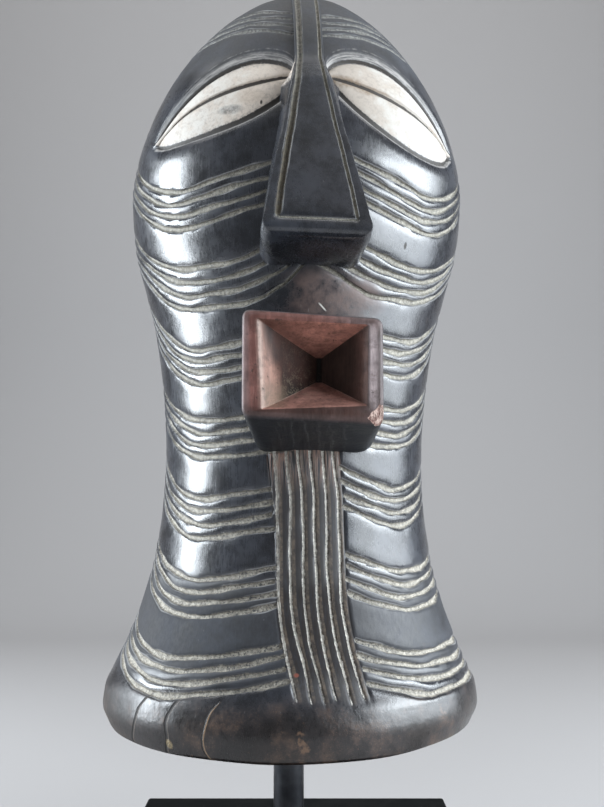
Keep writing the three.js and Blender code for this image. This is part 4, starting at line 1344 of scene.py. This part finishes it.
def mouth_material(shared, colours):
    """Bare reddish wood, rubbed at its edges, with dust in the hollow; black and streaked outside."""
    made, tree, shader = material("Rubbed mouth wood", specular=0.4)
    grain = use(tree, shared["grain"], Streak_Scale=800.0, Stretch=0.12, Blotch_Scale=110.0)
    wear = use(tree, shared["wear"], Scale=300.0, Amount=0.6)
    tint = mark(tree, "tint", "Color")
    bare = ramp(Value(node(tree, "SeparateColor", {0: tint}).outputs[0]), 0.03, 0.12)
    shade = 0.62 + grain["Blotches"] * 0.5 + grain["Streaks"] * 0.26
    colour = blend(1.0, tint, grey(shade), "MULTIPLY")
    knocks = wear["Mask"] * bare * 0.7
    colour = blend(knocks, colour, colours.mouth_knocks)
    stained = ramp(noise(own_space(tree), 260.0, 5.0, 0.7), 0.48, 0.66) * bare * 0.4
    colour = blend(stained, colour, colours.mouth_stain)
    zone = split_mark(tree, "place")
    speck = use(tree, shared["pigment"], Distance=0.62, Half_Width=0.5, Ragged=1.9, Specks=0.3)
    deep = ramp(zone["Z"], 2.22, 2.5) * ramp(zone["X"], 5.0, -4.0)
    deep = deep * ramp(zone["Y"], 158.0, 144.0, 0.3, 1.2)
    colour = blend(speck["Mask"] * deep * 0.27, colour, colours.dust_warm)
    olive = ramp(zone["Y"], 150.0, 140.0) * ramp(zone["Z"], 2.0, 2.1) * grain["Tooth"]
    olive = olive * ramp(zone["X"], -8.0, -14.0)
    colour = blend(olive, colour, colours.pigment_earth)
    dent = spot(zone, "dent in the mouth") * grain["Blotches"]
    colour = blend(dent * 0.8, colour, colours.mouth_dent)
    outside = ramp(zone["Z"], 0.96, 0.9)
    bent = zone["X"] * 0.19 + grain["Blotches"] * 0.35
    lines = ramp(abs(calc("FRACT", bent) - 0.5), 0.12, 0.0) * ramp(zone["Y"], 134.0, 131.0) * outside
    lines = lines * grain["Streaks"] * ramp(abs(zone["X"]), 18.0, 12.0)
    colour = blend(lines * 0.2, colour, colours.dust)
    rough = 0.4 + bare * 0.04 + grain["Blotches"] * 0.1 + ramp(zone["Z"], 2.1, 2.4) * 0.35
    height = grain["Streaks"] * 0.3 + grain["Tooth"] * 0.3
    height = height + grain["Blotches"] * 0.3 + knocks * -0.5
    finish_material(shader, colour, rough, height, 0.5)
    return made


def inside_material(shared, colours):
    """Raw brown wood with the tool's streaks and some dust."""
    made, tree, shader = material("Raw wood inside", specular=0.3)
    grain = use(tree, shared["grain"], Streak_Scale=420.0, Stretch=0.06, Blotch_Scale=30.0)
    wear = use(tree, shared["wear"], Scale=45.0, Amount=0.4)
    colour = blend(grain["Streaks"], colours.inside_dark, colours.inside)
    colour = blend(grain["Blotches"] * 0.6, colour, colours.inside_dark)
    colour = blend(wear["Mask"] * 0.5, colour, colours.dust_warm)
    rough = 0.6 + grain["Blotches"] * 0.2
    finish_material(shader, colour, rough, grain["Streaks"] * 0.8 + grain["Tooth"] * 0.4, 0.7)
    return made


def break_material(shared, colours):
    """Fresh break with fibres that run up and down."""
    made, tree, shader = material("Torn fibres", specular=0.35)
    grain = use(tree, shared["grain"], Streak_Scale=900.0, Stretch=0.14, Blotch_Scale=420.0)
    colour = blend(grain["Streaks"], colours.torn_dark, colours.torn)
    colour = blend(ramp(grain["Blotches"], 0.55, 0.95) * 0.8, colour, colours.torn_dark)
    finish_material(shader, colour, 0.55 + grain["Blotches"] * 0.2, grain["Streaks"], 1.0, 0.0008)
    return made


def steel_material(shared, colours):
    """Round steel bar, drawn along its length and a little dull."""
    made, tree, shader = material("Drawn steel", metallic=1.0)
    grain = use(tree, shared["grain"], Streak_Scale=2400.0, Stretch=0.01, Blotch_Scale=60.0)
    colour = blend(grain["Blotches"], colours.steel, colours.steel_dull)
    rough = 0.26 + grain["Streaks"] * 0.16 + grain["Blotches"] * 0.08
    finish_material(shader, colour, rough, grain["Streaks"], 0.12, 0.0001)
    return made


def lacquer_material(shared, colours):
    """Smooth black lacquer with fine dust on it and hairline rubs."""
    made, tree, shader = material("Black lacquer", specular=0.03)
    grain = use(tree, shared["grain"], Streak_Scale=300.0, Stretch=0.8, Blotch_Scale=40.0)
    wear = use(tree, shared["wear"], Scale=700.0, Amount=0.35)
    colour = blend(grain["Blotches"] * 0.35, colours.lacquer, colours.lacquer_dull)
    colour = blend(wear["Mask"] * 0.5, colour, colours.dust)
    rough = 0.42 + grain["Blotches"] * 0.14 + wear["Scratches"] * 0.15
    finish_material(shader, colour, rough, grain["Tooth"], 0.05, 0.0001)
    return made


_groups = {}


def shared_groups():
    """The node groups that the materials share, made once."""
    if not _groups:
        _groups.update(grain=grain_group(), pigment=pigment_group(), wear=wear_group())
    return _groups


# What a user can change


def length(name, description, default, low=0.0, high=0.1):
    return bpy.props.FloatProperty(
        name=name, description=description, default=default, min=low, max=high, unit="LENGTH",
        subtype="DISTANCE",
    )


def power(name, description, default, high=100.0):
    return bpy.props.FloatProperty(
        name=name, description=description, default=default, min=0.0, max=high, unit="POWER"
    )


def colour(name, description, default):
    return bpy.props.FloatVectorProperty(
        name=name, description=description, default=(*default, 1.0), size=4, min=0.0, max=1.0, subtype="COLOR"
    )


class MaskSizes(bpy.types.PropertyGroup):
    cut_width: length("Cut width", "Width of the zig-zag cuts at the surface", 0.0025, 0.0005, 0.004)
    cut_depth: length("Cut depth", "Depth of the zig-zag cuts", 0.0012, 0.0, 0.003)
    waver: length("Waver", "How far a cut strays from its line", 0.00026, 0.0, 0.0005)
    tool_marks: length("Tool marks", "Unevenness of the carved surface", 0.0006, 0.0, 0.002)
    eye_sink: length("Eye sink", "How deep the eyes are set behind the brow", 0.0022, 0.0, 0.004)
    eye_bulge: length("Eye bulge", "How far the eyes swell out again", 0.0015, 0.0, 0.002)
    wall: length("Wall", "Thickness of the hollow mask's wall", 0.011, 0.004, 0.02)
    inside_marks: length("Inside facets", "Depth of the tool's facets inside", 0.001, 0.0, 0.002)


class MaskColours(bpy.types.PropertyGroup):
    wood: colour("Wood", "Blackened wood", (0.022, 0.025, 0.0325))
    wood_warm: colour("Warm wood", "Blackened wood where brown shows", (0.014, 0.009, 0.0066))
    film: colour("Film", "Greasy film beside the nose and the mouth", (0.132, 0.0818, 0.0676))
    wear: colour("Rubbed wood", "Where the black is worn through", (0.17, 0.10, 0.062))
    beard: colour("Beard", "Ribs of the beard", (0.018, 0.0125, 0.0105))
    beard_dirt: colour("Dirt in the beard", "Brown dirt beside the beard's lines", (0.17, 0.13, 0.095))
    fibre: colour("Rubbed fibres", "Reddish fibres at the top of the beard", (0.26, 0.15, 0.11))
    red_spot: colour("Red spot", "Spot low on the beard", (0.24, 0.07, 0.045))
    pigment: colour("Pigment", "Pale pigment in the cuts", (0.52, 0.49, 0.41))
    pigment_dusty: colour("Dusty pigment", "Pigment on the forehead", (0.27, 0.27, 0.25))
    pigment_cream: colour("Cream pigment", "Pigment low on the beard", (0.60, 0.56, 0.475))
    pigment_thread: colour("Beard pigment", "Bright pigment in the beard's lines", (0.80, 0.77, 0.70))
    pigment_earth: colour("Earthy pigment", "Brown dirt in the nose's left line", (0.12, 0.10, 0.062))
    eye_white: colour("Eye white", "Paint of the eyes", (0.56, 0.54, 0.50))
    eye_beige: colour("Eye beige", "Dirty paint of the eyes", (0.47, 0.40, 0.335))
    # The left eye's paint is lighter, as painted light where the nose shades it
    eye_white_left_painted_light: colour("Left eye white", "Paint of the left eye near the nose", (0.80, 0.75, 0.68))
    eye_beige_left_painted_light: colour("Left eye beige", "Dirty paint of the left eye near the nose", (0.74, 0.63, 0.53))
    eye_patch: colour("Eye patch", "Yellowed patch on the left eye", (0.50, 0.40, 0.31))
    eye_grey: colour("Eye grey", "Greyed paint of the left eye", (0.33, 0.285, 0.25))
    smudge: colour("Smudge", "Smudge on the left eye", (0.13, 0.125, 0.12))
    stain: colour("Stain", "Brown stain along the right eye's line", (0.22, 0.15, 0.09))
    crack: colour("Crack", "The dark of the cracks", (0.006, 0.004, 0.003))
    crack_edge: colour("Crack edge", "Pale edges of the cracks", (0.26, 0.17, 0.10))
    filler: colour("Filler", "Crumbs in the cracks", (0.34, 0.26, 0.14))
    # The channel below the eyes, and a painted shadow line above them
    lid_dark: colour("Lid channel", "Dark channel round the eyes", (0.022, 0.0165, 0.012))
    slit: colour("Slit", "The line between the lids", (0.032, 0.024, 0.018))
    dust: colour("Dust", "Grey rubbed edges", (0.30, 0.30, 0.30))
    # Dusty strokes round the eyes, and the light line below each, which is partly a painted highlight
    lid_dust_and_highlight: colour("Lid dust", "Dusty strokes round the eyes", (0.42, 0.40, 0.38))
    dust_warm: colour("Warm dust", "Dust in the hollows", (0.30, 0.24, 0.17))
    lip_left: colour("Left of the mouth", "Front of the mouth block, left", (0.19, 0.08, 0.066))
    lip_top: colour("Top of the mouth", "Front of the mouth block, top", (0.18, 0.074, 0.059))
    # The right of the mouth's front is greyer, partly as a painted highlight
    lip_right: colour("Right of the mouth", "Front of the mouth block, right", (0.11, 0.082, 0.08))
    lip_low: colour("Foot of the mouth", "Front of the mouth block, bottom", (0.06, 0.028, 0.022))
    # Grey of wear on edges, which also serves as a painted glint on the mouth block's edges
    lip_edge_and_glint: colour("Edge of the mouth", "Worn grey edges of the mouth block", (0.34, 0.28, 0.28))
    facet_left: colour("Left facet", "Left facet of the mouth's hollow", (0.33, 0.185, 0.14))
    facet_top: colour("Top facet", "Top facet of the mouth's hollow", (0.44, 0.195, 0.147))
    facet_right: colour("Right facet", "Right facet of the mouth's hollow", (0.20, 0.12, 0.102))
    facet_low: colour("Low facet", "Bottom facet of the mouth's hollow", (0.36, 0.18, 0.145))
    facet_ridge: colour("Ridge", "Rubbed ridges in the mouth's hollow", (0.52, 0.37, 0.30))
    # Painted shade deep in the mouth's hollow
    pocket_shade: colour("Pocket", "Deepest part of the mouth's hollow", (0.02, 0.013, 0.0095))
    mouth_knocks: colour("Knocks at the mouth", "Dark knocks in the bare wood", (0.045, 0.026, 0.018))
    mouth_stain: colour("Stain at the mouth", "Dark stains in the bare wood", (0.05, 0.03, 0.024))
    mouth_dent: colour("Dent at the mouth", "Dark dent in the bottom facet", (0.03, 0.018, 0.012))
    inside: colour("Inside", "Raw wood inside", (0.16, 0.095, 0.055))
    inside_dark: colour("Inside, dark", "Raw wood inside, dark streaks", (0.06, 0.036, 0.022))
    torn: colour("Torn fibres", "Fresh break", (0.80, 0.60, 0.52))
    torn_dark: colour("Torn fibres, dark", "Fresh break, in its grooves", (0.20, 0.10, 0.08))


class StandLooks(bpy.types.PropertyGroup):
    bar_chamfer: length("Bar chamfer", "Bevel at the bar's upper end", 0.0008, 0.0, 0.003)
    block_round: length("Block rounding", "Rounding of the block's edges", 0.0015, 0.0003, 0.004)
    steel: colour("Steel", "Drawn steel", (0.07, 0.073, 0.08))
    steel_dull: colour("Dull steel", "Steel where it has dulled", (0.036, 0.038, 0.043))
    lacquer: colour("Lacquer", "Black lacquer", (0.002, 0.003, 0.003))
    lacquer_dull: colour("Dull lacquer", "Lacquer where it has dulled", (0.006, 0.007, 0.008))
    dust: colour("Dust", "Specks of dust", (0.22, 0.22, 0.22))


class StageLooks(bpy.types.PropertyGroup):
    floor: colour("Floor", "Plain floor and backdrop", (0.40, 0.39, 0.39))
    left_power: power("Left window", "Power of the light at the left", 14.5)
    right_power: power("Right window", "Power of the light at the right", 10.5)
    upper_power: power("Upper right window", "Power of the brighter upper part at the right", 7.5)
    top_power: power("Top light", "Power of the light overhead", 0.5)
    back_power: power("Backdrop light", "Power of the light on the floor and backdrop", 12.5, 200.0)
    sky: bpy.props.FloatProperty(
        name="Room light", description="Strength of the even light all round", default=0.23, min=0.0, max=3.0
    )


def stands_for(obj, node_name):
    """The piece stands for its CAD node and rides on the root."""
    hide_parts(node_name)
    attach(obj, "root")


def shown(name, mesh, node_name):
    """Puts a finished mesh in the scene as the piece for a CAD node."""
    obj = bpy.data.objects.new(name, mesh)
    bpy.context.scene.collection.objects.link(obj)
    stands_for(obj, node_name)


def smooth_faces(mesh, sharp=42):
    """Smooth shading, with edges past an angle in degrees kept sharp."""
    mesh.polygons.foreach_set("use_smooth", [True] * len(mesh.polygons))
    mesh.set_sharp_from_angle(angle=math.radians(sharp))


class MASK_OT_carve(bpy.types.Operator):
    """Carve the hollow mask with its cut lines, eyes, nose, mouth and beard"""

    bl_idname = "mask.carve"
    bl_label = "Carve the Mask"

    def execute(self, context):
        sizes, colours = context.scene.mask_sizes, context.scene.mask_colours
        shared = shared_groups()
        wood = wood_material(shared, colours)
        mouth_wood = mouth_material(shared, colours)
        inside = inside_material(shared, colours)
        torn = break_material(shared, colours)
        nose_wood = wood.copy()
        nose_wood.name = "Blackened wood, nose"

        rings, crown, marks = Outside(sizes).rings()
        marks["tint"] = outside_tint(marks["place"], colours)
        outside, outside_points = ring_solid("outside", rings, wood, above=crown)

        rings, tip, raw = nose_rings(sizes)
        nose, nose_points = ring_solid("nose", rings, nose_wood, below=tip)
        raw = np.concatenate([raw[:1, :1], raw.reshape(1, -1, 4), raw[-1:, :1]], 1)
        nose_data = nose_marks(raw, colours)

        rings, raw = mouth_rings()
        mouth, mouth_points = ring_solid("mouth", rings, mouth_wood)
        mouth_data = mouth_marks(raw, colours)

        rings = cavity_rings(sizes.wall / MM, sizes.inside_marks / MM)
        hollow, _ = ring_solid("hollow", rings, inside)
        far = 2 * MASK_HEIGHT
        middle = (0, BACK_EDGE + far / 2, MASK_HEIGHT / 2)
        points, faces = worn_block((far, far, far), middle, (0, 0, 0), 40, UNEVEN_CUT)
        behind = solid("behind", in_row(points), faces, inside)
        half, low, _ = MOUTH_FRONT
        at = mouth_place(np.array(half - 0.5), np.array(low + 2.2), MOUTH_REACH[1] + 0.6)
        points, faces = worn_block(CHIP_SIZE, at, CHIP_TURN, 9, UNEVEN_CUT)
        chip = solid("chip", in_row(points), faces, torn)

        steps = [(nose, "UNION"), (mouth, "UNION")]
        steps += [(taken, "DIFFERENCE") for taken in (hollow, chip, behind)]
        mesh = cut_solid(outside, steps)
        names = [m.name for m in mesh.materials]
        slot_of = lambda m: names.index(m.name)
        carry_marks(mesh, {
            slot_of(wood): (outside_points, marks),
            slot_of(nose_wood): (nose_points, nose_data),
            slot_of(mouth_wood): (mouth_points, mouth_data),
        })
        smooth_faces(mesh)
        mesh.name = "mask_carved"
        shown("mask_carved", mesh, "mask")
        return {"FINISHED"}


def bar_rings(chamfer):
    """The steel bar, as high as the CAD's, with a bevel at both ends."""
    low, high = (np.array(c[:]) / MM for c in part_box("rod"))
    radius = (high[0] - low[0]) / 2
    levels = [(low[2], radius - chamfer), (low[2] + chamfer, radius)]
    levels += [(z, radius) for z in np.linspace(low[2] + 10, high[2] - 10, 24)]
    return tube_rings(levels + [(high[2] - chamfer, radius), (high[2], radius - chamfer)])


def block_rings(round_off):
    """The black block, as big as the CAD's, with rounded edges and rings across its top."""
    high = np.array(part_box("foot")[1][:]) / MM
    half, top = high[0], high[2]
    quarter = np.linspace(0, math.pi / 2, 7)
    steps = [(round_off * (1 - math.cos(t)), round_off * (1 - math.sin(t))) for t in quarter]
    levels = steps + [(top * f, 0) for f in (0.25, 0.5, 0.75)]
    levels += [(top - rise, inset) for rise, inset in steps[::-1]]
    rings = []
    for z, inset in levels:
        h = half - inset
        corners = [(-h, -h), (h, -h), (h, h), (-h, h)]
        flat = quad_outline(corners, max(0.4, 1.2 - inset * 0.5), 16, 6)
        rings.append(np.column_stack([flat, np.full(len(flat), z)]))
    rings += [rings[-1] * np.array([f, f, 1]) for f in (0.98, 0.9, 0.7, 0.45, 0.2)]
    return np.array(rings)


def stand_solid(name, rings, material):
    """A solid through rings in millimetres of the row frame."""
    points, faces = closed(rings, rings[0].mean(0), rings[-1].mean(0))
    return solid(name, points * MM, faces, material)


class MASK_OT_stand(bpy.types.Operator):
    """Make the steel bar and the black block that hold the mask up"""

    bl_idname = "mask.stand"
    bl_label = "Make the Stand"

    def execute(self, context):
        looks = context.scene.mask_stand
        shared = shared_groups()
        steel = steel_material(shared, looks)
        bar = stand_solid("bar", bar_rings(looks.bar_chamfer / MM), steel)
        smooth_faces(bar.data, 30)
        stands_for(bar, "rod")

        lacquer = lacquer_material(shared, looks)
        block = stand_solid("block", block_rings(looks.block_round / MM), lacquer)
        radius, floor, above = SOCKET
        socket = stand_solid("socket", tube_rings([(floor, radius), (above, radius)]), lacquer)
        mesh = cut_solid(block, [(socket, "DIFFERENCE")])
        smooth_faces(mesh, 40)
        shown("foot_block", mesh, "foot")
        return {"FINISHED"}


# Where the backdrop stands, the radius of its bend, the floor's front edge, half its width, and its height
BACKDROP = (1.3, 0.5, -3.0, 4.0, 3.0)

# The power's setting, place, aim, size and tint of each light
DAYLIGHT = (0.87, 0.94, 1.0)
LIGHTS = {
    "left window": ("left_power", (-0.85, -0.04, 0.40), (0, 0, 0.29), (0.38, 0.64), DAYLIGHT),
    "right window": ("right_power", (0.84, -0.22, 0.36), (0, 0, 0.28), (0.98, 0.60), DAYLIGHT),
    "upper right window": ("upper_power", (0.80, -0.27, 0.54), (0, 0, 0.3), (0.7, 0.32), DAYLIGHT),
    "backdrop light": ("back_power", (0.0, 0.25, 1.7), (0, 1.1, 0.1), (2.2, 0.8), (1.0, 0.99, 0.97)),
    "overhead": ("top_power", (0.0, -0.35, 1.25), (0, 0, 0.25), (0.9, 0.6), (1.0, 0.98, 0.95)),
}
ROOM_TINT = (0.80, 0.84, 0.90, 1)

# The camera was fitted to the picture, whose height and focal length are in pixels
SENSOR = 36.0
FOCAL_PIXELS = 950
PHOTO_HEIGHT = 807
CAMERA_PLACE = (0.00334, -0.4527, 0.1954)
CAMERA_TILT = 5.083


def stage_floor(shade):
    """A plain floor that bends up into a backdrop."""
    plain, _, shader = material("Plain floor", specular=0.1)
    shader.inputs["Base Color"].default_value = shade
    shader.inputs["Roughness"].default_value = 0.9
    back, bend, front, wide, tall = BACKDROP
    profile = [(front, 0.0), (back - bend, 0.0)]
    for t in np.linspace(0, math.pi / 2, 17)[1:]:
        profile.append((back - bend + bend * math.sin(t), bend - bend * math.cos(t)))
    profile.append((back, tall))
    points = [(x, y, z) for y, z in profile for x in (-wide, wide)]
    faces = [(2 * i, 2 * i + 1, 2 * i + 3, 2 * i + 2) for i in range(len(profile) - 1)]
    floor = solid("floor", np.array(points), faces, plain)
    smooth_faces(floor.data, 80)
    return floor


def soft_light(name, place, aim, size, power, tint):
    """A rectangular lamp that looks at a point."""
    data = bpy.data.lights.new(name, "AREA")
    data.shape = "RECTANGLE"
    data.size, data.size_y = size
    data.energy = power
    data.color = tint
    lamp = bpy.data.objects.new(name, data)
    lamp.location = place
    lamp.rotation_euler = (Vector(aim) - Vector(place)).to_track_quat("-Z", "Y").to_euler()
    bpy.context.scene.collection.objects.link(lamp)


def fitted_camera():
    """The camera that sees the mask as the picture does."""
    data = bpy.data.cameras.new("camera")
    data.sensor_width = SENSOR
    data.lens = SENSOR * FOCAL_PIXELS / PHOTO_HEIGHT
    data.clip_start, data.clip_end = 0.01, 50
    camera = bpy.data.objects.new("camera", data)
    camera.location = CAMERA_PLACE
    camera.rotation_euler = (math.radians(90 + CAMERA_TILT), 0, 0)
    bpy.context.scene.collection.objects.link(camera)
    return camera


class MASK_OT_stage(bpy.types.Operator):
    """Set the floor, the soft lights and the camera"""

    bl_idname = "mask.stage"
    bl_label = "Set the Stage"

    def execute(self, context):
        scene, looks = context.scene, context.scene.mask_stage
        stage_floor(looks.floor)
        for name, (setting, place, aim, size, tint) in LIGHTS.items():
            soft_light(name, place, aim, size, getattr(looks, setting), tint)
        world = bpy.data.worlds.new("Room")
        world.use_nodes = True
        room = world.node_tree.nodes["Background"]
        room.inputs["Color"].default_value = ROOM_TINT
        room.inputs["Strength"].default_value = looks.sky
        scene.world = world
        scene.view_settings.view_transform = "Standard"
        scene.camera = fitted_camera()
        return {"FINISHED"}


class MASK_PT_panel(bpy.types.Panel):
    """Lists the steps that build the mask"""

    bl_idname = "MASK_PT_panel"
    bl_label = "Carved Mask"
    bl_space_type = "VIEW_3D"
    bl_region_type = "UI"
    bl_category = "Mask"

    def draw(self, context):
        for operator in STEPS:
            self.layout.operator(operator.bl_idname)
        for name in SETTINGS:
            box = self.layout.box()
            box.label(text=name.replace("_", " ").capitalize())
            settings = getattr(context.scene, name)
            for key in settings.bl_rna.properties.keys():
                if key not in ("rna_type", "name"):
                    box.prop(settings, key)


STEPS = (MASK_OT_carve, MASK_OT_stand, MASK_OT_stage)
SETTINGS = {
    "mask_sizes": MaskSizes,
    "mask_colours": MaskColours,
    "mask_stand": StandLooks,
    "mask_stage": StageLooks,
}


def register():
    for cls in (*SETTINGS.values(), *STEPS, MASK_PT_panel):
        bpy.utils.register_class(cls)
    for name, cls in SETTINGS.items():
        setattr(bpy.types.Scene, name, bpy.props.PointerProperty(type=cls))


def unregister():
    for name in SETTINGS:
        delattr(bpy.types.Scene, name)
    for cls in reversed((*SETTINGS.values(), *STEPS, MASK_PT_panel)):
        bpy.utils.unregister_class(cls)


def main():
    """Registers the add-on, builds the mask, its stand and the stage."""
    register()
    bpy.ops.mask.carve()
    bpy.ops.mask.stand()
    bpy.ops.mask.stage()


if __name__ == "__main__":
    main()
